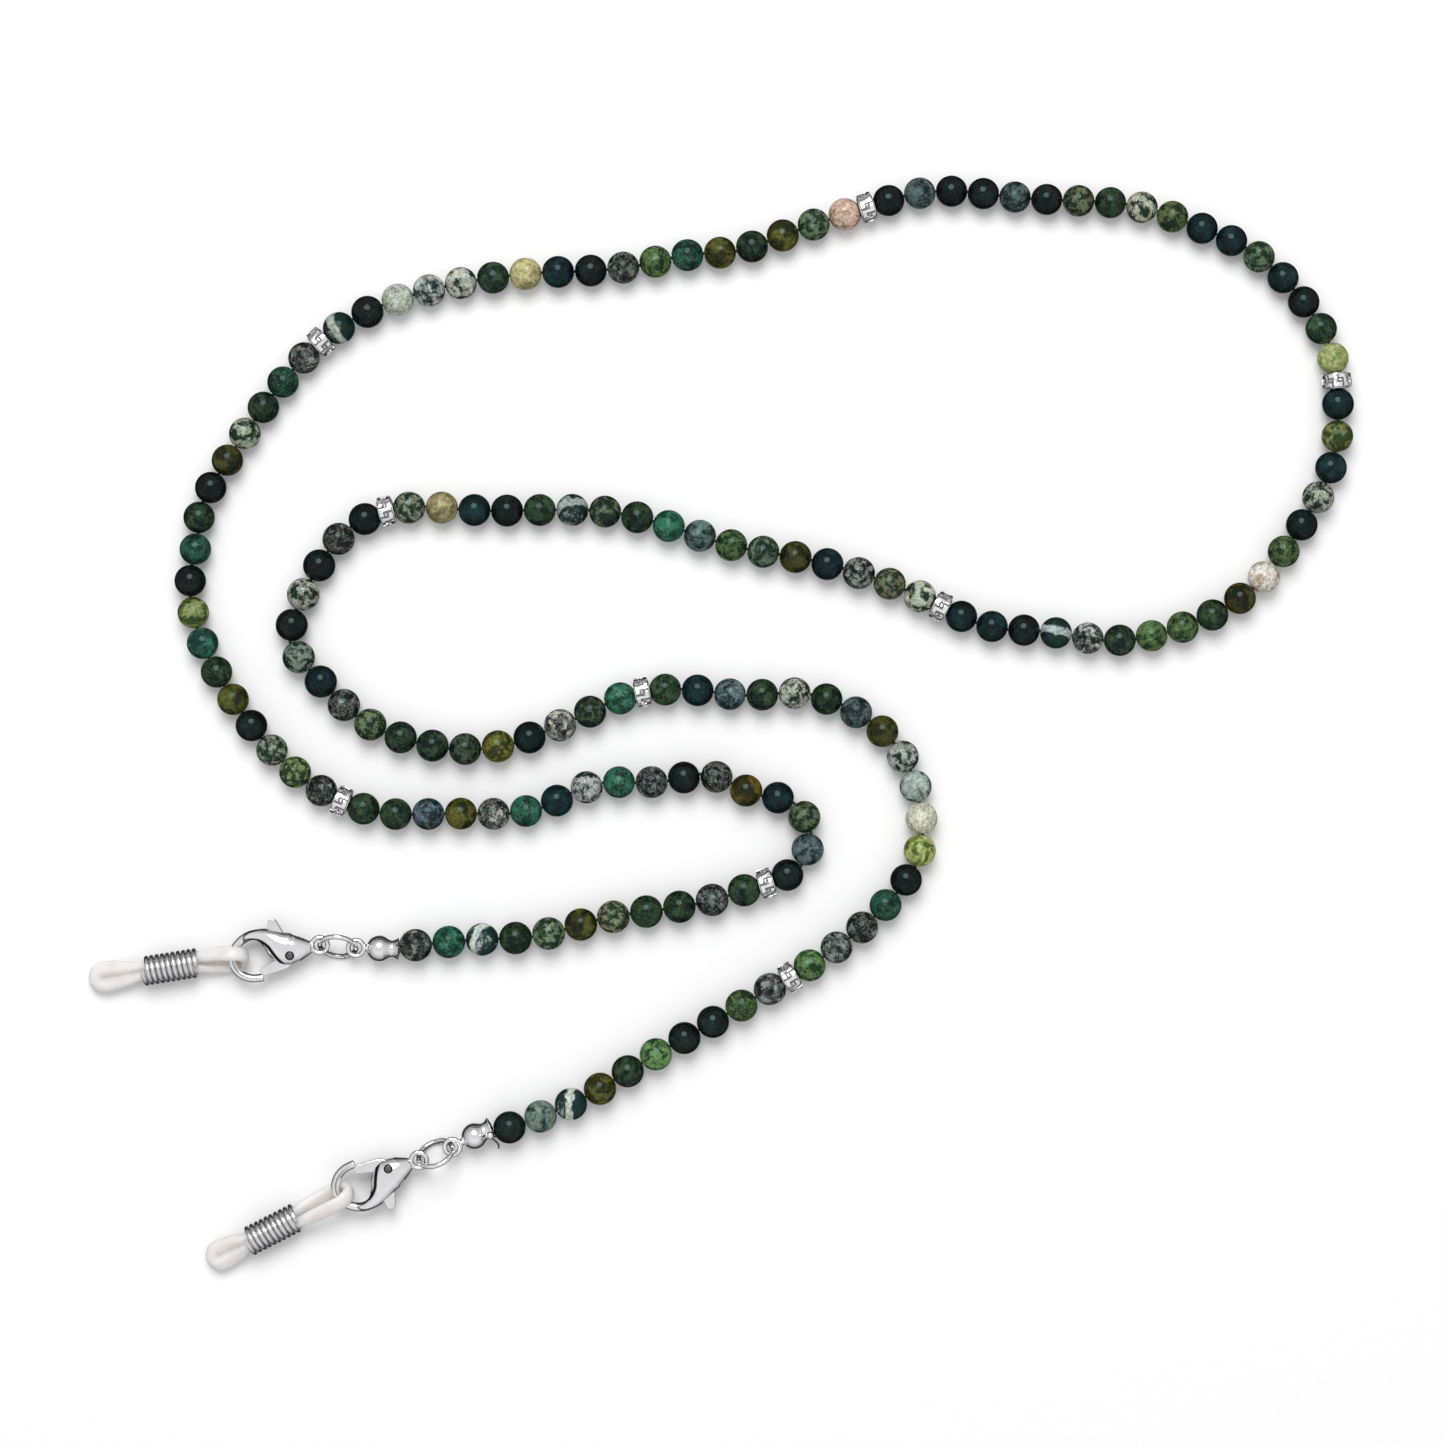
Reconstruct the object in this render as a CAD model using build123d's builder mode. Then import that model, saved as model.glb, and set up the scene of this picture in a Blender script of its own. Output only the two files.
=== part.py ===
from build123d import *
import math
import os

os.makedirs("parts", exist_ok=True)

# Beaded eyeglass chain: agate beads and silver rondelles on a knotted thread,
# closed at each end by a calotte, a jump ring, a lobster clasp and a silicone
# temple loop with a coil sleeve. Millimetres, +Z up, lying on z = 0.

# ------------------------------------------------------------------ dimensions
THREAD_D = 0.40            # braided beading thread
THREAD_Z = 2.00            # height of the thread's centreline
BEAD_D = 4.00              # nominal bead diameter
BEAD_GAP = 0.05            # smallest clearance between neighbouring beads
BEAD_BORE = 1.00
BEADS_PER_SECTION = [11, 17, 17, 17, 17, 17, 17, 17, 17, 10]
FIRST_BEAD_AT = 3.88       # arc length of the first bead's centre
LAST_BEAD_AT = 642.48      # arc length of the last bead's centre
RONDELLE_AT = [47.45, 118.67, 187.01, 256.44, 324.67, 393.71, 463.14, 533.86, 603.69]
BEAD_TO_RONDELLE = 2.82    # centre of a rondelle to the centre of the bead beside it

RONDELLE_D = 3.60
RONDELLE_W = 1.90
RONDELLE_BORE = 1.30
RONDELLE_LIP_D = 2.70      # raised collar on each face
RONDELLE_SEAT_D = 2.00     # recess that the bead sits in
RONDELLE_TEETH = 9

CALOTTE_R = 1.58           # outside radius of the closed cup
CALOTTE_WALL = 0.26
CALOTTE_SEAM = 0.04        # gap between the two shells
CALOTTE_MOUTH_R = 1.34     # flared mouth
KNOT_R = 0.90
EYE_R = 0.95               # centreline radius of a calotte's loop and a clasp's eye
EYE_WIRE_R = 0.28

RING_R = 2.20              # centreline radius of a jump ring
RING_WIRE_R = 0.30
RING_TILT = 55.0           # lean of the ring about the line between its two eyes
RING_Z = 2.13

CLASP_Z = 2.20             # mid-plane of a clasp
LEVER_T = 1.10
SLOT_T = 1.34
PIN_R = 0.40
LEVER_BORE_R = 0.45
PIVOT = (3.54, 1.22)       # lever pivot, from the eye

COIL_R = 1.57              # centreline radius of the coil sleeve
COIL_WIRE_R = 0.275
COIL_PITCH = 0.655
COIL_TURNS = 10
COIL_Z = COIL_R + COIL_WIRE_R + 0.01

ORIGIN_X = -0.24            # centre of the lay, so that the row's origin is under it
ORIGIN_Y = 0.06

# Control points of the thread's route, from the first calotte to the last.
ROUTE = [
    (-41.39, -27.49), (-30.71, -26.28), (-22.36, -26.24), (-14.99, -23.65), (-2.66, -22.15),
    (4.36, -19.73), (9.67, -18.29), (11.29, -12.56), (7.92, -8.69), (2.95, -8.90),
    (-1.05, -5.52), (-7.76, -7.49), (-15.90, -6.82), (-22.91, -11.19), (-33.40, -10.91),
    (-43.38, -11.36), (-53.86, -5.61), (-63.23, 7.72), (-65.64, 17.00), (-63.92, 22.38),
    (-64.36, 25.75), (-61.44, 30.71), (-56.64, 38.14), (-48.89, 47.55), (-39.64, 52.18),
    (-26.06, 55.01), (-12.08, 55.31), (-4.12, 57.50), (1.45, 57.30), (8.17, 59.96),
    (16.51, 62.71), (25.76, 65.53), (37.17, 63.94), (50.24, 63.66), (57.43, 60.90),
    (66.27, 57.26), (74.18, 47.46), (75.22, 40.12), (74.99, 31.86), (70.81, 24.10),
    (63.35, 14.10), (48.89, 9.36), (40.16, 11.39), (31.88, 11.43), (22.20, 16.63),
    (10.83, 20.16), (1.94, 21.30), (-5.35, 23.77), (-13.42, 26.05), (-21.51, 26.11),
    (-29.98, 25.87), (-38.05, 26.81), (-46.07, 24.60), (-51.62, 15.55), (-53.66, 9.62),
    (-48.97, 5.03), (-43.32, -0.92), (-29.75, -4.12), (-18.02, 0.44), (-11.46, 3.87),
    (-4.09, 4.38), (2.71, 3.11), (11.35, 4.29), (22.29, -2.12), (25.20, -14.64),
    (21.24, -21.10), (14.63, -27.08), (6.56, -31.97), (-1.96, -36.87), (-10.70, -41.77),
    (-18.71, -47.12), (-29.86, -50.53),
]

ROUTE = [(x - ORIGIN_X, y - ORIGIN_Y) for x, y in ROUTE]

# End fittings: calotte centre, loop hole, clasp eye, and the clasp's heading.
END_A = {
    "calotte": (-41.94, -27.47), "loop": (-44.81, -27.41), "eye": (-49.21, -27.05),
    "clasp_dir": 180.0, "side": 1, "coil": (-67.46, -29.73), "coil_dir": 9.0,
    "over": (7.78, 0.50), "under": (7.60, -1.00), "end": (9.12, -0.22),
    "tip": -8.35, "ring_high": 1,
}
END_B = {
    "calotte": (-30.34, -50.37), "loop": (-33.03, -51.71), "eye": (-37.12, -53.30),
    "clasp_dir": 213.0, "side": -1, "coil": (-55.00, -61.78), "coil_dir": 27.0,
    "over": (9.12, 0.72), "under": (8.98, -0.78), "end": (10.47, 0.00),
    "tip": -7.15, "ring_high": -1,
}
for end in (END_A, END_B):
    for key in ("calotte", "loop", "eye", "coil"):
        end[key] = (end[key][0] - ORIGIN_X, end[key][1] - ORIGIN_Y)


def local(origin, heading, side, x, y, z):
    """Point at x, y of a frame lying flat, mirrored about its x axis when side is -1."""
    c, s = math.cos(math.radians(heading)), math.sin(math.radians(heading))
    return Vector(origin[0] + x * c - side * y * s, origin[1] + x * s + side * y * c, z)


# ------------------------------------------------------------------ the route
legs = [math.dist(a, b) for a, b in zip(ROUTE, ROUTE[1:])]
radii = []
for i in range(1, len(ROUTE) - 1):
    a, b, c = (Vector(*ROUTE[k]) for k in (i - 1, i, i + 1))
    turn = (b - a).get_angle(c - b)
    radii.append(0.45 * min(legs[i - 1], legs[i]) / math.tan(math.radians(turn) / 2))
print("route radii, mm:", [round(r, 1) for r in radii])
print("smallest", round(min(radii), 2), "longest run", round(max(legs), 2))

with BuildPart() as beading_thread:
    with BuildLine() as thread_line:
        FilletPolyline(*[(x, y, THREAD_Z) for x, y in ROUTE], radius=radii)
    start = thread_line.line @ 0
    with BuildSketch(Plane(origin=start, z_dir=thread_line.line % 0)):
        Circle(THREAD_D / 2)
    sweep()

thread_wire = thread_line.wires()[0]
THREAD_LENGTH = thread_wire.length
print("thread length", round(THREAD_LENGTH, 2), "volume", round(beading_thread.part.volume, 3),
      "section x length", round(math.pi * THREAD_D**2 / 4 * THREAD_LENGTH, 3))
beading_thread.part.label = "beading_thread"
export_step(beading_thread.part, "parts/beading_thread.step")

STEPS = 2600
samples = [thread_wire.position_at(i / STEPS) for i in range(STEPS + 1)]


def at(s):
    """Point of the route at arc length s."""
    t = min(max(s / THREAD_LENGTH, 0), 1) * STEPS
    k = min(int(t), STEPS - 1)
    return samples[k] + (samples[k + 1] - samples[k]) * (t - k)


def seated(s, half):
    """Centre of a bored piece on the thread, halfway between the thread and its chord."""
    return (at(s) + (at(s - half) + at(s + half)) * 0.5) * 0.5


def next_at(s, chord):
    """Arc length of the next bead whose centre is a straight distance chord away."""
    here = seated(s, BEAD_D / 2)
    lo, hi = s + chord * 0.9, s + chord * 1.4
    for _ in range(26):
        mid = (lo + hi) / 2
        if (seated(mid, BEAD_D / 2) - here).length < chord:
            lo = mid
        else:
            hi = mid
    return (lo + hi) / 2


def spread(first, last, count):
    """Arc lengths of count beads with equal straight pitch from first to last."""
    lo, hi = 3.0, 5.0
    for _ in range(28):
        pitch = (lo + hi) / 2
        s = first
        for _ in range(count - 1):
            s = next_at(s, pitch)
        if s < last:
            lo = pitch
        else:
            hi = pitch
    out = [first]
    for _ in range(count - 1):
        out.append(next_at(out[-1], pitch))
    return out, pitch


def seat(s, half):
    """Frame of a bored piece on the thread: x along the bore."""
    run = at(s + half) - at(s - half)
    return Plane(origin=seated(s, half), x_dir=run.normalized(), z_dir=(0, 0, 1))


# ------------------------------------------------------------------ beads
edges_at = [FIRST_BEAD_AT] + RONDELLE_AT + [LAST_BEAD_AT]
for k, count in enumerate(BEADS_PER_SECTION):
    first = edges_at[k] + (0 if k == 0 else BEAD_TO_RONDELLE)
    last = edges_at[k + 1] - (0 if k == len(BEADS_PER_SECTION) - 1 else BEAD_TO_RONDELLE)
    stations, pitch = spread(first, last, count)
    diameter = min(BEAD_D, pitch - BEAD_GAP)
    print("section", k + 1, "pitch", round(pitch, 3), "bead", round(diameter, 3))
    with BuildPart() as bead:
        with BuildSketch(Plane.XZ):
            with BuildLine():
                r, bore = diameter / 2, BEAD_BORE / 2
                end_x = math.sqrt(r * r - (bore + 0.06) ** 2)
                top = ThreePointArc((-end_x, bore + 0.06), (0, r), (end_x, bore + 0.06))
                Polyline(top @ 1, (end_x - 0.08, bore), (-end_x + 0.08, bore), top @ 0)
            make_face()
        revolve(axis=Axis.X)
    with BuildPart() as section:
        with Locations(*[seat(s, BEAD_D / 2).location for s in stations]):
            add(bead.part)
    section.part.label = f"agate_beads_{k + 1}"
    export_step(section.part, f"parts/agate_beads_{k + 1}.step")

# ------------------------------------------------------------------ rondelles
with BuildPart() as rondelle:
    with BuildSketch(Plane.XZ) as rondelle_profile:
        with BuildLine():
            w, lip = RONDELLE_W / 2, RONDELLE_W / 2 - 0.12
            Polyline(
                (-w, RONDELLE_SEAT_D / 2), (-w, RONDELLE_LIP_D / 2),
                (-lip, RONDELLE_LIP_D / 2), (-lip, RONDELLE_D / 2 - 0.14),
                (-lip + 0.14, RONDELLE_D / 2), (lip - 0.14, RONDELLE_D / 2),
                (lip, RONDELLE_D / 2 - 0.14), (lip, RONDELLE_LIP_D / 2),
                (w, RONDELLE_LIP_D / 2), (w, RONDELLE_SEAT_D / 2),
                (w - 0.30, RONDELLE_BORE / 2), (-w + 0.30, RONDELLE_BORE / 2),
                close=True,
            )
        make_face()
    revolve(axis=Axis.X)
    # interlocking slots cut into the rim from each edge in turn
    for i in range(RONDELLE_TEETH):
        for half, sign in ((0, 1), (0.5, -1)):
            angle = 360 / RONDELLE_TEETH * (i + half)
            with Locations(
                Location((0, 0, 0), (angle, 0, 0)) * Location((sign * 0.42, 0, RONDELLE_D / 2))
            ):
                Box(0.90, 0.20, 0.28, mode=Mode.SUBTRACT)

for k, s in enumerate(RONDELLE_AT):
    with BuildPart() as spacer:
        with Locations(seat(s, RONDELLE_W / 2).location):
            add(rondelle.part)
    spacer.part.label = f"rondelle_{k + 1}"
    export_step(spacer.part, f"parts/rondelle_{k + 1}.step")

# ------------------------------------------------------------------ clasp outline
# x runs from the eye to the hook, y towards the gate.
# Each row: x, y of the centreline, width in plan, height.
CLAW = [
    (1.08, 0.28, 1.50, 1.30), (1.95, 0.36, 2.50, 2.10), (2.93, 0.46, 3.50, 2.70),
    (3.90, 0.46, 4.10, 3.00), (4.88, 0.05, 3.80, 3.00), (5.86, -0.62, 2.85, 2.70),
    (6.84, -1.10, 1.95, 2.20), (7.82, -1.25, 1.35, 1.75), (8.85, -1.02, 1.14, 1.45),
    (9.85, -0.28, 1.08, 1.30), (10.50, 0.75, 1.06, 1.24), (10.66, 1.85, 1.06, 1.20),
    (10.30, 2.88, 1.04, 1.20), (9.40, 3.70, 1.02, 1.18), (8.20, 4.06, 1.00, 1.16),
    (6.80, 3.92, 0.98, 1.12),
]
# Lever: gate arm, hub and thumb tab, outline in the same frame.
LEVER = [
    (2.95, 1.75), (2.80, 0.95), (3.30, 0.30), (4.10, -0.95), (4.72, -1.95),
    (5.42, -3.02), (5.72, -3.22), (5.98, -3.02), (6.10, -2.20), (5.85, -1.20),
    (5.10, 0.20), (4.75, 1.30), (5.25, 1.72), (7.28, 2.92), (7.24, 3.10),
    (6.76, 3.68), (6.10, 3.50), (5.00, 3.18), (3.85, 2.72),
]
# Space the lever sweeps in the body, thumb tab to gate.
SLOT = [
    (2.40, 1.95), (2.15, 0.60), (2.75, -0.30), (2.60, -2.60), (4.60, -4.60),
    (6.45, -3.80), (6.42, -1.20), (5.75, 0.30), (9.00, -0.10), (9.00, 2.40),
    (7.62, 2.86), (6.78, 3.86), (6.40, 4.90), (3.00, 4.20),
]
SPRING = [(2.38, 0.45), (2.62, 1.00), (2.60, 0.40), (2.86, 0.06)]


def claw_frames(origin, heading, side):
    """Planes square to the claw's centreline, x up and y across."""
    frames = []
    for i, (x, y, w, h) in enumerate(CLAW):
        a = CLAW[max(i - 1, 0)]
        b = CLAW[min(i + 1, len(CLAW) - 1)]
        p = local(origin, heading, side, x, y, CLASP_Z)
        d = local(origin, heading, side, b[0], b[1], CLASP_Z) - local(
            origin, heading, side, a[0], a[1], CLASP_Z
        )
        frames.append((Plane(origin=p, x_dir=(0, 0, 1), z_dir=d.normalized()), w, h))
    return frames


def strand_rows(end):
    """Centreline rows of the silicone loop, from the tip to the rear over and under the
    hook: x, y, z, half width and half thickness."""
    tip, (ox, oy), (ux, uy), (ex, ey) = end["tip"], end["over"], end["under"], end["end"]
    low = 0.95
    over = [
        (tip - 0.98, 0.00, low, 0.87, 0.87), (tip - 0.85, 0.50, low, 0.87, 0.87),
        (tip - 0.49, 0.86, low, 0.87, 0.87), (tip, 0.98, low + 0.02, 0.87, 0.87),
        (tip * 0.90, 0.96, low + 0.08, 0.86, 0.86), (tip * 0.80, 0.90, low + 0.22, 0.81, 0.81),
        (tip * 0.64, 0.75, low + 0.55, 0.69, 0.69), (-4.15, 0.61, COIL_Z - 0.10, 0.58, 0.58),
        (-2.60, 0.59, COIL_Z, 0.56, 0.56), (-0.20, 0.58, COIL_Z + 0.12, 0.56, 0.56),
        (2.30, 0.52, COIL_Z + 0.30, 0.56, 0.56), (3.60, 0.46, COIL_Z + 0.42, 0.58, 0.57),
        (4.80, 0.46, COIL_Z + 0.85, 0.67, 0.60),
        (ox * 0.5 + 2.6, 0.5 * oy + 0.25, 3.22, 0.76, 0.61),
        (ox, oy, CLASP_Z + 1.36, 0.78, 0.60),
        (ox + (ex - ox) * 0.71, oy + (ey - oy) * 0.35, CLASP_Z + 0.98, 0.78, 0.60),
        (ex, ey, CLASP_Z, 0.78, 0.60),
    ]
    under = [
        over[0], (tip - 0.85, -0.50, low, 0.87, 0.87), (tip - 0.49, -0.86, low, 0.87, 0.87),
        (tip, -0.98, low + 0.02, 0.87, 0.87), (tip * 0.90, -0.96, low + 0.06, 0.86, 0.86),
        (tip * 0.80, -0.90, low + 0.14, 0.81, 0.81), (tip * 0.64, -0.75, low + 0.38, 0.69, 0.69),
        (-4.15, -0.61, COIL_Z - 0.20, 0.58, 0.58), (-2.60, -0.59, COIL_Z - 0.08, 0.56, 0.56),
        (-0.20, -0.58, COIL_Z - 0.14, 0.56, 0.56), (2.30, -0.52, COIL_Z - 0.30, 0.56, 0.56),
        (3.60, -0.52, COIL_Z - 0.44, 0.58, 0.57), (4.80, -0.66, COIL_Z - 0.66, 0.67, 0.60),
        (ux * 0.5 + 2.6, 0.5 * uy - 0.40, 0.92, 0.76, 0.60),
        (ux, uy, CLASP_Z - 1.36, 0.78, 0.60),
        (ux + (ex - ux) * 0.71, uy + (ey - uy) * 0.35, CLASP_Z - 0.98, 0.78, 0.60),
        over[-1],
    ]
    return over, under


def strand_frames(end):
    """Section planes for the two halves of the loop, sharing those at both apexes.
    Each half starts at the rear apex with its wide axis level and carries it along
    without twist, so the round sections near the tip take whatever turn is left."""
    over, under = strand_rows(end)
    ring = over[:-1] + under[:0:-1]
    points = [local(end["coil"], end["coil_dir"], end["side"], r[0], r[1], r[2]) for r in ring]
    level = local((0, 0), end["coil_dir"], end["side"], 0, 1, 0)
    n = len(ring)
    ahead = [(points[(i + 1) % n] - points[i - 1]).normalized() for i in range(n)]
    k = len(over) - 1
    halves = []
    for order in (range(k, -1, -1), [i % n for i in range(k, n + 1)]):
        x, half = level, []
        for i in order:
            d = ahead[i]
            x = (x - d * x.dot(d)).normalized()
            half.append((points[i], x, d, ring[i][3], ring[i][4]))
        halves.append(half)
    return halves


for name, end in (("a", END_A), ("b", END_B)):
    side = end["side"]
    # ---- calotte: two half shells closed over the knot, loop on the lower one
    cx, cy = end["calotte"]
    lx, ly = end["loop"]
    heading = math.degrees(math.atan2(ly - cy, lx - cx))
    reach = math.dist(end["calotte"], end["loop"])
    R, t, mouth = CALOTTE_R, CALOTTE_WALL, CALOTTE_MOUTH_R
    tip_plane = Plane(
        origin=(cx, cy, THREAD_Z), x_dir=local((0, 0), heading, 1, 1, 0, 0), z_dir=(0, 0, 1)
    )
    with BuildPart() as cup:
        with BuildSketch(Plane.XZ):
            with BuildLine():
                outer = ThreePointArc((R, 0), (R * 0.62, R * 0.785), (-0.55, R * 0.937))
                flare = Spline(
                    outer @ 1, (-1.35, 1.02), (-1.85, 1.10), (-2.26, mouth),
                    tangents=[(-1, -0.38), (-0.55, 0.84)],
                )
                lip = Line(flare @ 1, (-2.32, mouth - 0.18))
                back = Spline(
                    lip @ 1, (-1.85, 1.10 - t), (-1.35, 1.02 - t), (-0.55, R * 0.937 - t),
                    tangents=[(0.50, -0.86), (1, 0.38)],
                )
                inner = ThreePointArc(
                    back @ 1, ((R - t) * 0.60, (R - t) * 0.80), (R - t, 0)
                )
                Line(inner @ 1, outer @ 0)
            make_face()
        revolve(axis=Axis.X)
    with BuildPart() as upper:
        with Locations(tip_plane.location):
            add(cup.part)
        split(bisect_by=Plane.XY.offset(THREAD_Z + CALOTTE_SEAM / 2), keep=Keep.TOP)
    upper.part.label = f"calotte_upper_{name}"
    export_step(upper.part, f"parts/calotte_upper_{name}.step")
    with BuildPart() as lower:
        with Locations(tip_plane.location):
            add(cup.part)
        split(bisect_by=Plane.XY.offset(THREAD_Z - CALOTTE_SEAM / 2), keep=Keep.BOTTOM)
        with BuildSketch(Plane(
            origin=local((cx, cy), heading, 1, R - 0.14, 0, THREAD_Z - 0.30),
            z_dir=local((0, 0), heading, 1, 1, 0, 0),
        )):
            Rectangle(0.46, 0.40)
        extrude(amount=reach - EYE_R - R + 0.14)
        with Locations((lx, ly, THREAD_Z)):
            Torus(EYE_R, EYE_WIRE_R)
    lower.part.label = f"calotte_lower_{name}"
    export_step(lower.part, f"parts/calotte_lower_{name}.step")

    with BuildPart() as knot:
        with Locations((cx, cy, THREAD_Z)):
            Sphere(KNOT_R)
    knot.part.label = f"thread_knot_{name}"
    export_step(knot.part, f"parts/thread_knot_{name}.step")

    # ---- jump ring, leaning on the line between its two eyes
    ex, ey = end["eye"]
    mid = ((lx + ex) / 2, (ly + ey) / 2)
    line = Vector(ex - lx, ey - ly, 0).normalized()
    across = Vector(-line.Y, line.X, 0)
    if across.Y * end["ring_high"] < 0:
        across = across * -1
    tilt = math.radians(RING_TILT)
    rise = across * math.cos(tilt) + Vector(0, 0, 1) * math.sin(tilt)
    with BuildPart() as ring:
        with Locations(Plane(origin=(*mid, RING_Z), x_dir=line, z_dir=line.cross(rise)).location):
            Torus(math.dist(end["loop"], end["eye"]) / 2, RING_WIRE_R)
    ring.part.label = f"jump_ring_{name}"
    export_step(ring.part, f"parts/jump_ring_{name}.step")

    # ---- lobster clasp
    at_eye = lambda x, y: local(end["eye"], end["clasp_dir"], side, x, y, 0)
    with BuildPart() as clasp:
        for plane, w, h in claw_frames(end["eye"], end["clasp_dir"], side):
            with BuildSketch(plane):
                Ellipse(h / 2, w / 2)
        loft()
        with Locations((ex, ey, CLASP_Z)):
            Torus(EYE_R, EYE_WIRE_R)
            Cylinder(EYE_R - EYE_WIRE_R, 2.4, mode=Mode.SUBTRACT)
        with BuildSketch(Plane.XY.offset(CLASP_Z - SLOT_T / 2)):
            with BuildLine():
                Polyline(*[at_eye(*p) for p in SLOT], close=True)
            make_face()
        extrude(amount=SLOT_T, mode=Mode.SUBTRACT)
        px, py = at_eye(*PIVOT).X, at_eye(*PIVOT).Y
        with Locations((px, py, CLASP_Z)):
            Cylinder(PIN_R, 5, mode=Mode.SUBTRACT)
    print("clasp solids", len(clasp.solids()), "volume", round(clasp.part.volume, 2))
    clasp.part.label = f"clasp_body_{name}"
    export_step(clasp.part, f"parts/clasp_body_{name}.step")

    with BuildPart() as lever:
        with BuildSketch(Plane.XY.offset(CLASP_Z - LEVER_T / 2)):
            with BuildLine():
                Polyline(*[at_eye(*p) for p in LEVER], close=True)
            make_face()
        extrude(amount=LEVER_T)
        with Locations((px, py, CLASP_Z)):
            Cylinder(LEVER_BORE_R, 5, mode=Mode.SUBTRACT)
    lever.part.label = f"clasp_lever_{name}"
    export_step(lever.part, f"parts/clasp_lever_{name}.step")

    with BuildPart() as pin:
        with Locations((px, py, CLASP_Z)):
            Cylinder(PIN_R, 2.76)
        fillet(pin.edges().filter_by(GeomType.CIRCLE), 0.10)
    pin.part.label = f"clasp_pin_{name}"
    export_step(pin.part, f"parts/clasp_pin_{name}.step")

    with BuildPart() as spring:
        with BuildSketch(Plane.XY.offset(CLASP_Z - 0.40)):
            with BuildLine():
                Polyline(*[at_eye(*p) for p in SPRING])
            trace(line_width=0.12)
        extrude(amount=0.80)
    spring.part.label = f"clasp_spring_{name}"
    export_step(spring.part, f"parts/clasp_spring_{name}.step")

    # ---- silicone temple loop
    with BuildPart() as loop:
        for half in strand_frames(end):
            for p, x, d, a, b in half:
                with BuildSketch(Plane(origin=p, x_dir=x, z_dir=d)):
                    Ellipse(a, b)
            loft()
    print("silicone solids", len(loop.solids()), "volume", round(loop.part.volume, 2))
    loop.part.label = f"silicone_loop_{name}"
    export_step(loop.part, f"parts/silicone_loop_{name}.step")

    # ---- coil sleeve
    length = COIL_PITCH * COIL_TURNS
    along = local((0, 0), end["coil_dir"], side, 1, 0, 0)
    base = local(end["coil"], end["coil_dir"], side, -length / 2, 0, COIL_Z)
    with BuildPart() as coil:
        with BuildLine():
            turns = Helix(COIL_PITCH, length, COIL_R)
        with BuildSketch(Plane(origin=turns @ 0, z_dir=turns % 0)):
            Circle(COIL_WIRE_R)
        sweep(is_frenet=True)
    with BuildPart() as sleeve:
        with Locations(Plane(origin=base, x_dir=(0, 0, 1), z_dir=along).location):
            add(coil.part)
    sleeve.part.label = f"coil_sleeve_{name}"
    export_step(sleeve.part, f"parts/coil_sleeve_{name}.step")

# ---- cut ends of the thread beside the last beads, and the crimp ball
TAILS = {
    "a": ([(-39.80, -26.90), (-39.42, -27.25), (-39.38, -27.85), (-39.75, -28.35)], THREAD_Z + 1.52),
    "b": ([(-28.05, -50.55), (-27.70, -50.85), (-27.35, -51.25), (-27.30, -51.75)], THREAD_Z + 1.42),
}
for name, (points, z) in TAILS.items():
    points = [(x - ORIGIN_X, y - ORIGIN_Y) for x, y in points]
    with BuildPart() as tail:
        with BuildLine() as tail_line:
            FilletPolyline(*[(x, y, z) for x, y in points], radius=0.3)
        with BuildSketch(Plane(origin=tail_line.line @ 0, z_dir=tail_line.line % 0)):
            Circle(0.11)
        sweep()
    tail.part.label = f"thread_tail_{name}"
    export_step(tail.part, f"parts/thread_tail_{name}.step")
with BuildPart() as crimp:
    with Locations((-28.33 - ORIGIN_X, -50.12 - ORIGIN_Y, THREAD_Z + 1.72)):
        Sphere(0.50)
crimp.part.label = "crimp_ball_b"
export_step(crimp.part, "parts/crimp_ball_b.step")
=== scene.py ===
import math
import random

import bmesh
import bpy
import numpy as np
from mathutils import Matrix, Vector


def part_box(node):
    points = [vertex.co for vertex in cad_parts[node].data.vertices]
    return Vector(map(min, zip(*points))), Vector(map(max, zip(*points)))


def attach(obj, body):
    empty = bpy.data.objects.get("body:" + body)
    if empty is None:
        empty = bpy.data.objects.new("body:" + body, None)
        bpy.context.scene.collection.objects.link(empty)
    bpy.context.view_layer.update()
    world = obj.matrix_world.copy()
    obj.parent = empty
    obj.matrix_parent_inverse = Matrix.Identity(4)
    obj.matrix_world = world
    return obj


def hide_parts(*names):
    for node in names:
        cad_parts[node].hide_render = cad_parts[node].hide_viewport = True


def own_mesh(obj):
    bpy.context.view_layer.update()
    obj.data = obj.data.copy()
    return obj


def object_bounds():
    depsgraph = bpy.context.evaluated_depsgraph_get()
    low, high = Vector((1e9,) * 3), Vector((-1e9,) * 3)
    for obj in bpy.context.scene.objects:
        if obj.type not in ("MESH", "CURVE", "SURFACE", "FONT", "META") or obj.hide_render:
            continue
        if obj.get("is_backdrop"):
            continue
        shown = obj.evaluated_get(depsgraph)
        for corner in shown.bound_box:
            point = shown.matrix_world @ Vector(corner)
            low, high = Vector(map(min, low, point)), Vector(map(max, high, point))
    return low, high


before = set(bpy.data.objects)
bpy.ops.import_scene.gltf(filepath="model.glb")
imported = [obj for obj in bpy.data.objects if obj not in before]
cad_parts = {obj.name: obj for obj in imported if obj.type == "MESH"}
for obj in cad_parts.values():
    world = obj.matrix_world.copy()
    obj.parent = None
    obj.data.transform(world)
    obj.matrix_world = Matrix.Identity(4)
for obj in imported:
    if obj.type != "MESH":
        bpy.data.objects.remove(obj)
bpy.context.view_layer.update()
scene = bpy.context.scene
MM = 0.001

# ------------------------------------------------------------------ stage
ORIGIN = (-0.24, 0.06)
camera = bpy.data.objects.new("camera", bpy.data.cameras.new("camera"))
scene.collection.objects.link(camera)
camera.data.lens = 100
camera.data.sensor_width = 36
camera.location = (0.00018, 0.00006, 0.49208)
camera.rotation_euler = (0, 0, 0)
camera.data.clip_start = 0.01
scene.camera = camera
scene.view_settings.view_transform = "Standard"

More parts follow.
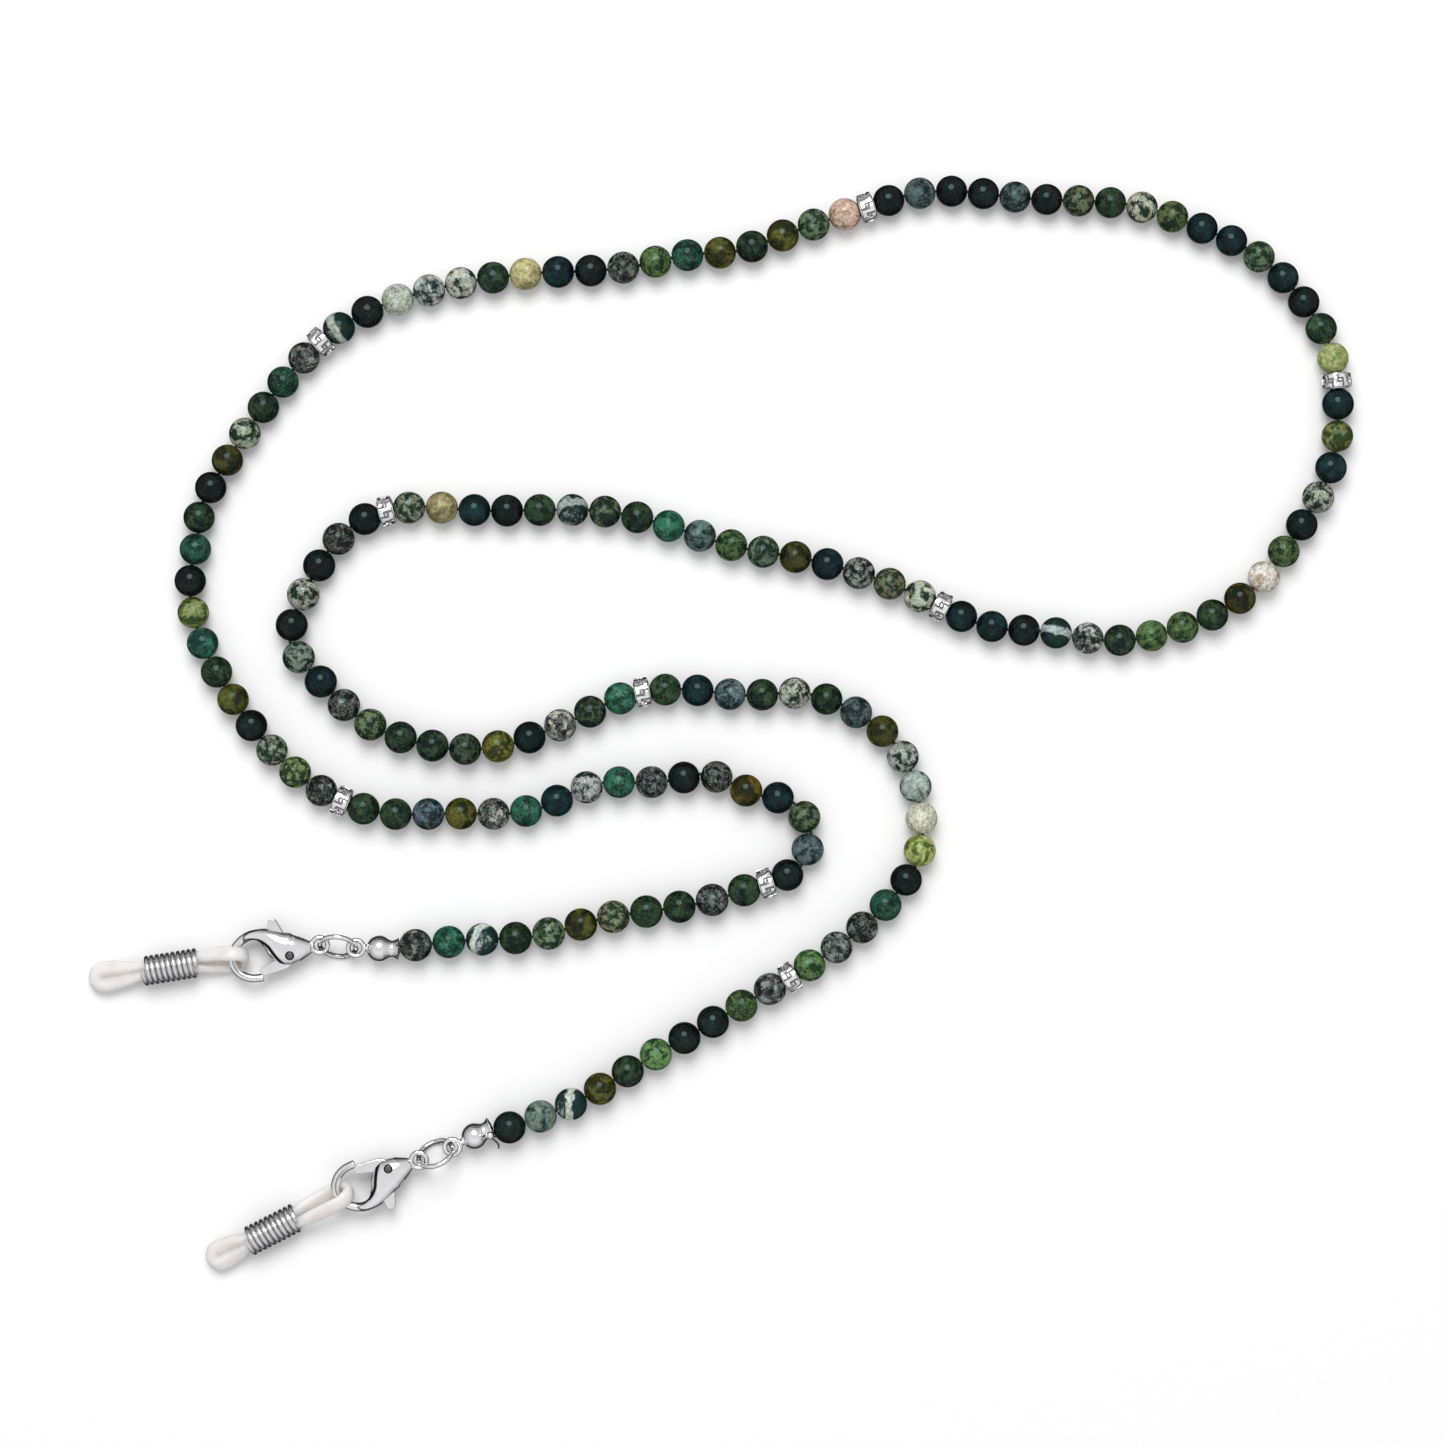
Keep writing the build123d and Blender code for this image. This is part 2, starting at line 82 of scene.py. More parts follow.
floor_mesh = bpy.data.meshes.new("floor")
floor_mesh.from_pydata([(-4, -4, 0), (4, -4, 0), (4, 4, 0), (-4, 4, 0)], [], [(0, 1, 2, 3)])
floor = bpy.data.objects.new("floor", floor_mesh)
scene.collection.objects.link(floor)
floor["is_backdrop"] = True
floor.visible_glossy = False

THREAD_Z = 2.00
ROUTE = [
    (-41.39, -27.49), (-30.71, -26.28), (-22.36, -26.24), (-14.99, -23.65), (-2.66, -22.15),
    (4.36, -19.73), (9.67, -18.29), (11.29, -12.56), (7.92, -8.69), (2.95, -8.90),
    (-1.05, -5.52), (-7.76, -7.49), (-15.90, -6.82), (-22.91, -11.19), (-33.40, -10.91),
    (-43.38, -11.36), (-53.86, -5.61), (-63.23, 7.72), (-65.64, 17.00), (-63.92, 22.38),
    (-64.36, 25.75), (-61.44, 30.71), (-56.64, 38.14), (-48.89, 47.55), (-39.64, 52.18),
    (-26.06, 55.01), (-12.08, 55.31), (-4.12, 57.50), (1.45, 57.30), (8.17, 59.96),
    (16.51, 62.71), (25.76, 65.53), (37.17, 63.94), (50.24, 63.66), (57.43, 60.90),
    (66.27, 57.26), (74.18, 47.46), (75.22, 40.12), (74.99, 31.86), (70.81, 24.10),
    (63.35, 14.10), (48.89, 9.36), (40.16, 11.39), (31.88, 11.43), (22.20, 16.63),
    (10.83, 20.16), (1.94, 21.30), (-5.35, 23.77), (-13.42, 26.05), (-21.51, 26.11),
    (-29.98, 25.87), (-38.05, 26.81), (-46.07, 24.60), (-51.62, 15.55), (-53.66, 9.62),
    (-48.97, 5.03), (-43.32, -0.92), (-29.75, -4.12), (-18.02, 0.44), (-11.46, 3.87),
    (-4.09, 4.38), (2.71, 3.11), (11.35, 4.29), (22.29, -2.12), (25.20, -14.64),
    (21.24, -21.10), (14.63, -27.08), (6.56, -31.97), (-1.96, -36.87), (-10.70, -41.77),
    (-18.71, -47.12), (-29.86, -50.53),
]
ROUTE = [((x - ORIGIN[0]) * MM, (y - ORIGIN[1]) * MM, THREAD_Z * MM) for x, y in ROUTE]

END_A = {
    "calotte": (-41.94, -27.47), "loop": (-44.81, -27.41), "eye": (-49.21, -27.05),
    "clasp_dir": 180.0, "side": 1, "coil": (-67.46, -29.73), "coil_dir": 9.0,
    "over": (7.78, 0.50), "under": (7.60, -1.00), "end": (9.12, -0.22),
    "tip": -8.35, "ring_high": 1, "seed": 3,
}
END_B = {
    "calotte": (-30.34, -50.37), "loop": (-33.03, -51.71), "eye": (-37.12, -53.30),
    "clasp_dir": 213.0, "side": -1, "coil": (-55.00, -61.78), "coil_dir": 27.0,
    "over": (9.12, 0.72), "under": (8.98, -0.78), "end": (10.47, 0.00),
    "tip": -7.15, "ring_high": -1, "seed": 8,
}
for end in (END_A, END_B):
    for key in ("calotte", "loop", "eye", "coil"):
        end[key] = (end[key][0] - ORIGIN[0], end[key][1] - ORIGIN[1])


def nurbs(name, points, bevel):
    data = bpy.data.curves.new(name, "CURVE")
    data.dimensions = "3D"
    spline = data.splines.new("NURBS")
    spline.points.add(len(points) - 1)
    for p, co in zip(spline.points, points):
        p.co = (*co, 1)
    spline.order_u = 3
    spline.use_endpoint_u = True
    data.resolution_u = 16
    data.bevel_depth = bevel
    data.bevel_resolution = 3
    data.use_fill_caps = True
    ob = bpy.data.objects.new(name, data)
    scene.collection.objects.link(ob)
    return ob


thread = nurbs("thread", ROUTE, 0.0002)
guide = nurbs("guide", ROUTE, 0)
bpy.context.view_layer.update()
line_mesh = bpy.data.meshes.new_from_object(guide.evaluated_get(bpy.context.evaluated_depsgraph_get()))
LINE = np.array([v.co for v in line_mesh.vertices], float) / MM
bpy.data.objects.remove(guide)
bpy.data.meshes.remove(line_mesh)
RUN = np.concatenate([[0], np.cumsum(np.linalg.norm(np.diff(LINE, axis=0), axis=1))])
THREAD_LENGTH = float(RUN[-1])


def at(s):
    """Point of the thread, in millimetres, at arc length s."""
    return np.array([np.interp(s, RUN, LINE[:, k]) for k in range(3)])


def nearest(p):
    """Arc length of the thread nearest to p."""
    return float(RUN[np.argmin(np.linalg.norm(LINE - np.array(p)[None, :], axis=1))])


# ------------------------------------------------------------------ node helpers
class Nodes:
    def __init__(self, name):
        self.mat = bpy.data.materials.new(name)
        self.mat.use_nodes = True
        self.tree = self.mat.node_tree
        self.tree.nodes.clear()
        self.out = self.tree.nodes.new("ShaderNodeOutputMaterial")
        self.bsdf = self.tree.nodes.new("ShaderNodeBsdfPrincipled")
        self.link(self.bsdf.outputs[0], self.out.inputs[0])

    def link(self, a, b):
        self.tree.links.new(a, b)

    def put(self, node, key, value):
        socket = node.inputs[key]
        if isinstance(value, bpy.types.NodeSocket):
            self.link(value, socket)
        else:
            socket.default_value = value

    def set(self, key, value):
        self.put(self.bsdf, key, value)

    def attribute(self, name, out="Fac"):
        n = self.tree.nodes.new("ShaderNodeAttribute")
        n.attribute_name = name
        return n.outputs[out]

    def millimetres(self):
        n = self.tree.nodes.new("ShaderNodeTexCoord")
        return self.scaled(n.outputs["Object"], 1000.0)

    def scaled(self, vector, factor):
        n = self.tree.nodes.new("ShaderNodeVectorMath")
        n.operation = "SCALE"
        self.put(n, 0, vector)
        self.put(n, "Scale", factor)
        return n.outputs[0]

    def vadd(self, a, b):
        n = self.tree.nodes.new("ShaderNodeVectorMath")
        self.put(n, 0, a)
        self.put(n, 1, b)
        return n.outputs[0]

    def noise(self, vector, scale, detail=3.0, rough=0.5, distortion=0.0, out=0):
        n = self.tree.nodes.new("ShaderNodeTexNoise")
        self.put(n, "Vector", vector)
        self.put(n, "Scale", scale)
        self.put(n, "Detail", detail)
        self.put(n, "Roughness", rough)
        self.put(n, "Distortion", distortion)
        return n.outputs[out]

    def math(self, operation, a, b=0.0, clamp=False):
        n = self.tree.nodes.new("ShaderNodeMath")
        n.operation = operation
        n.use_clamp = clamp
        self.put(n, 0, a)
        self.put(n, 1, b)
        return n.outputs[0]

    def step(self, value, low, high, out_low=0.0, out_high=1.0):
        n = self.tree.nodes.new("ShaderNodeMapRange")
        n.interpolation_type = "SMOOTHSTEP"
        for key, v in (("Value", value), ("From Min", low), ("From Max", high),
                       ("To Min", out_low), ("To Max", out_high)):
            self.put(n, key, v)
        return n.outputs[0]

    def mix(self, factor, a, b, blend="MIX"):
        n = self.tree.nodes.new("ShaderNodeMix")
        n.data_type = "RGBA"
        n.blend_type = blend
        self.put(n, 0, factor)
        self.put(n, 6, a)
        self.put(n, 7, b)
        return n.outputs[2]

    def bump(self, height, strength, distance):
        n = self.tree.nodes.new("ShaderNodeBump")
        self.put(n, "Height", height)
        self.put(n, "Strength", strength)
        self.put(n, "Distance", distance)
        self.link(n.outputs[0], self.bsdf.inputs["Normal"])


def rgb(r, g, b):
    """Linear colour of an 8-bit display colour."""
    out = []
    for v in (r, g, b):
        v = v / 255
        out.append(v / 12.92 if v <= 0.04045 else ((v + 0.055) / 1.055) ** 2.4)
    return (*out, 1.0)


# ------------------------------------------------------------------ materials
def agate_material():
    m = Nodes("moss_agate")
    local = m.attribute("stone_at", "Vector")
    moved = m.vadd(m.scaled(local, m.attribute("stone_scale")), m.attribute("stone_offset", "Vector"))
    cloud = m.noise(moved, 0.62, 3.0, 0.55, 0.5)
    moss = m.noise(moved, 1.9, 6.0, 0.68, 1.6)
    edge = m.math("ADD", cloud, m.math("MULTIPLY", m.math("SUBTRACT", moss, 0.5), 0.45))
    start = m.attribute("stone_edge")
    patch = m.step(edge, m.math("SUBTRACT", start, 0.085), m.math("ADD", start, 0.085))
    base = m.mix(patch, m.attribute("stone_dark", "Color"), m.attribute("stone_light", "Color"))
    # a clear band across some beads
    z = m.tree.nodes.new("ShaderNodeSeparateXYZ")
    m.link(local, z.inputs[0])
    across = m.math("ABSOLUTE", m.math("ADD", z.outputs[2], m.math("MULTIPLY", m.math("SUBTRACT", cloud, 0.5), 1.6)))
    band = m.math("MULTIPLY", m.step(across, 0.30, 0.62, 1.0, 0.0), m.attribute("stone_band"))
    base = m.mix(band, base, m.attribute("stone_light", "Color"))
    # thin dark and light threads of moss
    fine = m.noise(moved, 1.15, 4.0, 0.6, 2.2)
    thread_mask = m.step(m.math("ABSOLUTE", m.math("SUBTRACT", fine, 0.5)), 0.010, 0.034, 1.0, 0.0)
    gate = m.step(m.noise(moved, 0.8, 2.0, 0.5, 0.0), 0.42, 0.56)
    veins = m.math("MULTIPLY", m.math("MULTIPLY", thread_mask, gate), m.attribute("stone_veins"))
    base = m.mix(veins, base, m.attribute("stone_vein", "Color"))
    # specks and flecks
    speck = m.noise(moved, 5.5, 3.0, 0.6, 0.4)
    base = m.mix(m.math("MULTIPLY", m.step(speck, 0.60, 0.70), m.attribute("stone_flecks")),
                 base, m.attribute("stone_light", "Color"))
    base = m.mix(m.math("MULTIPLY", m.step(speck, 0.42, 0.30), 0.55), base,
                 m.mix(1.0, base, (0.34, 0.38, 0.36, 1), "MULTIPLY"))
    shade = m.step(m.noise(moved, 2.6, 4.0, 0.6, 0.3), 0.3, 0.7, 0.55, 1.30)
    n = m.tree.nodes.new("ShaderNodeVectorMath")
    n.operation = "SCALE"
    m.link(base, n.inputs[0])
    m.link(shade, n.inputs["Scale"])
    m.set("Base Color", n.outputs[0])
    m.set("Roughness", m.step(speck, 0.35, 0.75, 0.08, 0.15))
    m.set("IOR", 1.54)
    m.set("Specular IOR Level", 0.30)
    m.set("Specular Tint", (0.42, 0.60, 0.58, 1))
    m.set("Transmission Weight", m.math("MULTIPLY", m.attribute("stone_clear"), m.step(patch, 0.0, 1.0, 0.45, 1.0)))
    m.set("Subsurface Weight", 0.18)
    m.set("Subsurface Radius", (0.8, 1.0, 0.8))
    m.set("Subsurface Scale", 0.0006)
    m.bump(m.noise(moved, 3.2, 3.0, 0.5, 0.2), 0.06, 0.0001)
    return m.mat


def plate_material(name, tone, low, high, wave=0.10):
    """Bright plated metal with faint polishing haze."""
    m = Nodes(name)
    p = m.millimetres()
    haze = m.noise(p, 0.7, 4.0, 0.55, 0.3)
    scratch = m.noise(p, 9.0, 4.0, 0.7, 1.5)
    plain = m.mix(m.step(haze, 0.3, 0.7), tuple(v * 0.93 for v in tone[:3]) + (1,), tone)
    # painted shade: the vertex attribute read here turns the plate near black and rougher where shade is painted into
    # the clasp's slot, rivet hole and hook edge and on the inner sides of the eye, jump ring and calotte loop
    painted_shade_and_oxide = m.attribute("painted_shade_and_oxide")
    m.set("Base Color", m.mix(painted_shade_and_oxide, plain, (0.012, 0.012, 0.013, 1)))
    m.set("Metallic", 1.0)
    m.set("Roughness", m.math("ADD", m.math("ADD", m.step(haze, 0.3, 0.75, low, high), m.step(scratch, 0.55, 0.75, 0.0, 0.04)),
                              m.math("MULTIPLY", painted_shade_and_oxide, 0.2)))
    m.bump(m.math("ADD", m.noise(p, 0.9, 2.0, 0.5), m.math("MULTIPLY", scratch, 0.05)), wave, 0.0001)
    return m.mat


def cast_material():
    """Bright cast plate, dark where the oxide stays in the recesses."""
    m = Nodes("cast_silver")
    p = m.millimetres()
    grain = m.noise(p, 7.0, 4.0, 0.65, 0.4)
    haze = m.noise(p, 1.3, 3.0, 0.5)
    bright = m.mix(m.step(haze, 0.3, 0.7), (0.86, 0.86, 0.875, 1), (0.97, 0.97, 0.975, 1))
    painted_shade_and_oxide = m.math("MULTIPLY", m.attribute("painted_shade_and_oxide"), m.step(grain, 0.25, 0.6, 1.0, 0.75), True)
    m.set("Base Color", m.mix(painted_shade_and_oxide, bright, (0.018, 0.018, 0.020, 1)))
    m.set("Metallic", m.step(painted_shade_and_oxide, 0.2, 0.9, 1.0, 0.35))
    m.set("Roughness", m.math("ADD", m.step(grain, 0.3, 0.7, 0.14, 0.27), m.math("MULTIPLY", painted_shade_and_oxide, 0.35)))
    m.bump(m.math("ADD", m.math("MULTIPLY", grain, 0.5), haze), 0.16, 0.0001)
    return m.mat


def wire_material():
    """Drawn wire: fine lines round and along the coil."""
    m = Nodes("steel_wire")
    p = m.attribute("wire_at", "Vector")
    lines = m.noise(p, 1.0, 3.0, 0.6)
    q = m.millimetres()
    haze = m.noise(q, 1.1, 3.0, 0.5)
    m.set("Base Color", m.mix(m.step(lines, 0.35, 0.65), (0.66, 0.66, 0.68, 1), (0.90, 0.90, 0.91, 1)))
    m.set("Metallic", 1.0)
    m.set("Roughness", m.math("ADD", m.step(lines, 0.3, 0.7, 0.10, 0.22), m.step(haze, 0.4, 0.8, 0.0, 0.05)))
    m.bump(lines, 0.08, 0.00005)
    return m.mat


def spring_material():
    """Plain drawn wire of the small springs."""
    m = Nodes("spring_wire")
    p = m.millimetres()
    lines = m.noise(p, 5.0, 4.0, 0.65, 0.8)
    haze = m.noise(p, 1.4, 3.0, 0.5)
    m.set("Base Color", m.mix(m.step(lines, 0.35, 0.65), (0.56, 0.56, 0.58, 1), (0.84, 0.84, 0.85, 1)))
    m.set("Metallic", 1.0)
    m.set("Roughness", m.math("ADD", m.step(lines, 0.3, 0.7, 0.12, 0.26), m.step(haze, 0.4, 0.8, 0.0, 0.06)))
    m.bump(lines, 0.10, 0.00003)
    return m.mat


def thread_material():
    """Waxed black braid."""
    m = Nodes("black_thread")
    p = m.millimetres()
    wave = m.tree.nodes.new("ShaderNodeTexWave")
    wave.bands_direction = "DIAGONAL"
    m.put(wave, "Vector", p)
    m.put(wave, "Scale", 3.4)
    m.put(wave, "Distortion", 2.0)
    m.put(wave, "Detail", 2.0)
    fibre = m.noise(p, 14.0, 4.0, 0.7, 0.5)
    m.set("Base Color", m.mix(m.step(fibre, 0.35, 0.7), (0.006, 0.006, 0.007, 1), (0.045, 0.045, 0.048, 1)))
    m.set("Roughness", m.step(fibre, 0.3, 0.7, 0.42, 0.72))
    m.set("Sheen Weight", 0.25)
    m.bump(m.math("ADD", wave.outputs["Fac"], m.math("MULTIPLY", fibre, 0.5)), 0.5, 0.00006)
    return m.mat


def silicone_material():
    """Milky clear silicone, a little cloudy, with moulded skin."""
    m = Nodes("clear_silicone")
    p = m.millimetres()
    cloud = m.noise(p, 0.35, 4.0, 0.55, 0.6)
    skin = m.noise(p, 6.0, 3.0, 0.55, 0.2)
    m.set("Base Color", m.mix(m.step(cloud, 0.3, 0.7), (0.665, 0.645, 0.632, 1), (0.73, 0.715, 0.702, 1)))
    m.set("Roughness", m.math("ADD", m.step(cloud, 0.3, 0.7, 0.24, 0.34), m.step(skin, 0.5, 0.8, 0.0, 0.05)))
    m.set("IOR", 1.41)
    m.set("Subsurface Weight", 0.9)
    m.set("Subsurface Radius", (1.0, 0.8, 0.72))
    m.set("Subsurface Scale", 0.0018)
    m.set("Coat Weight", 0.15)
    m.set("Coat Roughness", 0.2)
    m.bump(m.math("ADD", m.math("MULTIPLY", skin, 0.2), m.noise(p, 0.5, 2.0, 0.5)), 0.03, 0.0001)
    return m.mat


def floor_material():
    m = Nodes("paper")
    p = m.millimetres()
    grain = m.noise(p, 0.5, 4.0, 0.6)
    m.set("Base Color", m.mix(grain, (0.868, 0.868, 0.868, 1), (0.893, 0.893, 0.893, 1)))
    m.set("Roughness", 0.9)
    m.set("Specular IOR Level", 0.1)
    return m.mat


MAT = {
    "moss_agate": agate_material(),
    "cast_silver": cast_material(),
    "silver_plate": plate_material("silver_plate", (0.93, 0.93, 0.94, 1), 0.055, 0.095, 0.02),
    "pin_steel": plate_material("pin_steel", (0.16, 0.16, 0.165, 1), 0.16, 0.26, 0.05),
    "steel_wire": wire_material(),
    "spring_wire": spring_material(),
    "black_thread": thread_material(),
    "clear_silicone": silicone_material(),
}
floor.data.materials.append(floor_material())


# ------------------------------------------------------------------ mesh helpers
def place(name, points, faces, body, material, nodes=(), smooth=True, angle=None, attributes=None):
    """A mesh piece from points in millimetres in the row frame."""
    me = bpy.data.meshes.new(name)
    me.from_pydata((np.asarray(points, float) * MM).tolist(), [], [list(f) for f in faces])
    me.validate()
    ob = bpy.data.objects.new(name, me)
    scene.collection.objects.link(ob)
    dress(ob, body, material, nodes, smooth, angle)
    for key, (kind, values) in (attributes or {}).items():
        a = me.attributes.new(key, kind, "POINT")
        values = np.asarray(values, np.float32)
        a.data.foreach_set({"FLOAT": "value", "FLOAT_VECTOR": "vector", "FLOAT_COLOR": "color"}[kind], values.ravel())
    return ob


def dress(ob, body, material, nodes, smooth=True, angle=None):
    bm = bmesh.new()
    bm.from_mesh(ob.data)
    bmesh.ops.recalc_face_normals(bm, faces=bm.faces)
    for f in bm.faces:
        f.smooth = smooth
    if angle is not None:
        for e in bm.edges:
            if len(e.link_faces) == 2 and e.calc_face_angle(0) > math.radians(angle):
                e.smooth = False
    bm.to_mesh(ob.data)
    bm.free()
    ob.data.materials.clear()
    ob.data.materials.append(MAT[material])
    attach(ob, body)
    if nodes:
        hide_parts(*nodes)


def rings_to_faces(rings, seg, closed=False, caps=True, base=0):
    faces = []
    for i in range(rings if closed else rings - 1):
        j = (i + 1) % rings
        for k in range(seg):
            l = (k + 1) % seg
            faces.append((base + i * seg + k, base + j * seg + k, base + j * seg + l, base + i * seg + l))
    if caps and not closed:
        faces.append(tuple(base + k for k in range(seg))[::-1])
        faces.append(tuple(base + (rings - 1) * seg + k for k in range(seg)))
    return faces


def sweep(points, radius, seg=16, closed=False, up=(0, 0, 1), extra=None):
    """Round or varying tube along points, carried without twist. radius is one or a list."""
    points = np.asarray(points, float)
    n = len(points)
    rad = np.broadcast_to(np.asarray(radius, float), (n,))
    if closed:
        ahead = np.roll(points, -1, 0) - np.roll(points, 1, 0)
    else:
        ahead = np.gradient(points, axis=0)
    ahead /= np.linalg.norm(ahead, axis=1)[:, None]
    u = np.cross(up, ahead[0])
    if np.linalg.norm(u) < 1e-3:
        u = np.cross((1, 0, 0), ahead[0])
    verts = []
    angle = np.linspace(0, 2 * math.pi, seg, endpoint=False)
    for i in range(n):
        u = u - ahead[i] * (u @ ahead[i])
        u /= np.linalg.norm(u)
        v = np.cross(ahead[i], u)
        verts.append(points[i] + rad[i] * (np.cos(angle)[:, None] * u + np.sin(angle)[:, None] * v))
    return np.concatenate(verts), rings_to_faces(n, seg, closed)


def catmull(rows, count, closed=False):
    """Smooth interpolation through rows, spaced by chord length in the first three columns."""
    rows = np.asarray(rows, float)
    n = len(rows)
    if closed:
        ext = np.vstack([rows[-1:], rows, rows[:2]])
    else:
        ext = np.vstack([2 * rows[0] - rows[1], rows, 2 * rows[-1] - rows[-2]])
    t = np.concatenate([[0], np.cumsum(np.maximum(np.linalg.norm(np.diff(ext[:, :3], axis=0), axis=1), 1e-6) ** 0.5)])
    spans = n if closed else n - 1
    out = []
    per = max(1, round(count / spans))
    for k in range(spans):
        p0, p1, p2, p3 = ext[k:k + 4]
        t0, t1, t2, t3 = t[k:k + 4]
        for i in range(per):
            s = t1 + (t2 - t1) * i / per
            a1 = (t1 - s) / (t1 - t0) * p0 + (s - t0) / (t1 - t0) * p1
            a2 = (t2 - s) / (t2 - t1) * p1 + (s - t1) / (t2 - t1) * p2
            a3 = (t3 - s) / (t3 - t2) * p2 + (s - t2) / (t3 - t2) * p3
            b1 = (t2 - s) / (t2 - t0) * a1 + (s - t0) / (t2 - t0) * a2
            b2 = (t3 - s) / (t3 - t1) * a2 + (s - t1) / (t3 - t1) * a3
            out.append((t2 - s) / (t2 - t1) * b1 + (s - t1) / (t2 - t1) * b2)
    if not closed:
        out.append(rows[-1])
    return np.array(out)


def raw(name, verts, faces):
    me = bpy.data.meshes.new(name)
    me.from_pydata(np.asarray(verts, float).tolist(), [], [list(f) for f in faces])
    bm = bmesh.new()
    bm.from_mesh(me)
    bmesh.ops.recalc_face_normals(bm, faces=bm.faces)
    bm.to_mesh(me)
    bm.free()
    ob = bpy.data.objects.new(name, me)
    scene.collection.objects.link(ob)
    return ob


def baked(ob):
    """Applies the modifiers of ob to its mesh."""
    bpy.context.view_layer.update()
    dg = bpy.context.evaluated_depsgraph_get()
    me = bpy.data.meshes.new_from_object(ob.evaluated_get(dg))
    ob.modifiers.clear()
    ob.data = me
    return ob


def cut(ob, tool, operation="DIFFERENCE"):
    m = ob.modifiers.new("cut", "BOOLEAN")
    m.object = tool
    m.operation = operation
    m.solver = "EXACT"
    baked(ob)
    bpy.data.objects.remove(tool)
    return ob


def prism(name, outline, low, high):
    """Closed prism from an outline of points, in millimetres."""
    n = len(outline)
    verts = [(x, y, low) for x, y in outline] + [(x, y, high) for x, y in outline]
    faces = [tuple(range(n))[::-1], tuple(range(n, 2 * n))]
    faces += [(i, (i + 1) % n, n + (i + 1) % n, n + i) for i in range(n)]
    return raw(name, verts, faces)


def melt(ob, voxel, rounds, factor=0.5):
    """Joins the shells of ob into one skin and evens it out."""
    m = ob.modifiers.new("skin", "REMESH")
    m.mode = "VOXEL"
    m.voxel_size = voxel
    s = ob.modifiers.new("even", "SMOOTH")
    s.iterations = rounds
    s.factor = factor
    return baked(ob)


def to_metres(ob, matrix=None):
    if matrix is not None:
        ob.data.transform(matrix)
    ob.data.transform(Matrix.Scale(MM, 4))
    return ob


def flat_frame(origin, heading, side):
    """Matrix of a frame lying flat: x along heading, y mirrored when side is -1, millimetres."""
    c, s = math.cos(math.radians(heading)), math.sin(math.radians(heading))
    return Matrix(((c, -side * s, 0, origin[0]), (s, side * c, 0, origin[1]), (0, 0, 1, 0), (0, 0, 0, 1)))


# ------------------------------------------------------------------ beads
# One letter a bead from the first end to the last, with marks: + lighter, - darker,
# y yellow, p pink, b blue, g grey, w whiter, o orange, c clearer.
ORDER = [
    "Q T B D M+ O Mp+ D D Q D",
    "K S M N Oo Q- K Q Tg Cw N T Qw O Sb D+ D",
    "Q My+ Mc K O D T L- K T- D K O- Cg D T- Q",
    "B- K Pgw Sw Cg D+ Py N K Q G- T- O D O M Pp",
    "K S- K K S- K Mp D C My N N Mg N K D+ Y",
    "N L- N C K G- Ppw O- D G- G D Qw B K N N",
    "Cg Mp Q N O- M G- Sg T D M B- D K N Py- Mc",
    "K Q K Cg K Mc N Q M D D M- O+ N- Qw M- T",
    "D+ N S D C D S- O- Cw Tw Pgw L K T- Q Q G",
    "Qc G- K K G+ D O B Tc K+",
]
KIND = {
    #    dark            light            vein          edge  veins flecks clear band scale
    "K": ((5, 10, 9), (14, 27, 23), (60, 72, 66), 0.57, 0.45, 0.18, 0.0, 0, 1.0),
    "N": ((6, 18, 22), (15, 42, 44), (54, 80, 82), 0.56, 0.30, 0.12, 0.0, 0, 0.9),
    "D": ((8, 22, 13), (40, 62, 40), (86, 108, 76), 0.53, 0.55, 0.22, 0.0, 0, 1.1),
    "S": ((20, 33, 36), (88, 108, 108), (132, 148, 146), 0.52, 0.65, 0.45, 0.0, 0, 1.2),
    "T": ((10, 46, 36), (46, 106, 82), (118, 164, 140), 0.51, 0.45, 0.20, 0.05, 0, 1.0),
    "G": ((20, 48, 25), (88, 120, 72), (150, 176, 118), 0.51, 0.60, 0.30, 0.08, 0, 1.2),
    "L": ((66, 90, 30), (186, 198, 126), (66, 88, 28), 0.49, 0.55, 0.20, 0.30, 0, 1.0),
    "Y": ((138, 156, 86), (196, 206, 142), (112, 140, 60), 0.47, 0.45, 0.15, 0.35, 0, 0.9),
    "O": ((26, 31, 9), (80, 84, 30), (108, 82, 36), 0.53, 0.50, 0.25, 0.04, 0, 1.0),
    "M": ((22, 40, 26), (104, 122, 92), (12, 26, 16), 0.53, 0.90, 0.50, 0.12, 0, 1.9),
    "Q": ((9, 14, 14), (124, 132, 124), (156, 162, 154), 0.60, 0.85, 0.85, 0.0, 0, 1.5),
    "C": ((26, 42, 32), (204, 208, 194), (9, 24, 15), 0.50, 1.0, 0.15, 0.30, 0, 1.35),
    "P": ((150, 142, 112), (226, 218, 200), (92, 116, 60), 0.46, 0.65, 0.15, 0.30, 0, 0.9),
    "B": ((20, 46, 46), (192, 202, 194), (12, 28, 28), 0.66, 0.5, 0.20, 0.10, 1, 0.9),
}
TINT = {"y": (1.05, 1.02, 0.66), "p": (1.22, 0.98, 0.98), "b": (0.88, 0.98, 1.14), "g": (0.92, 1.0, 0.92),
        "o": (1.25, 0.92, 0.60)}


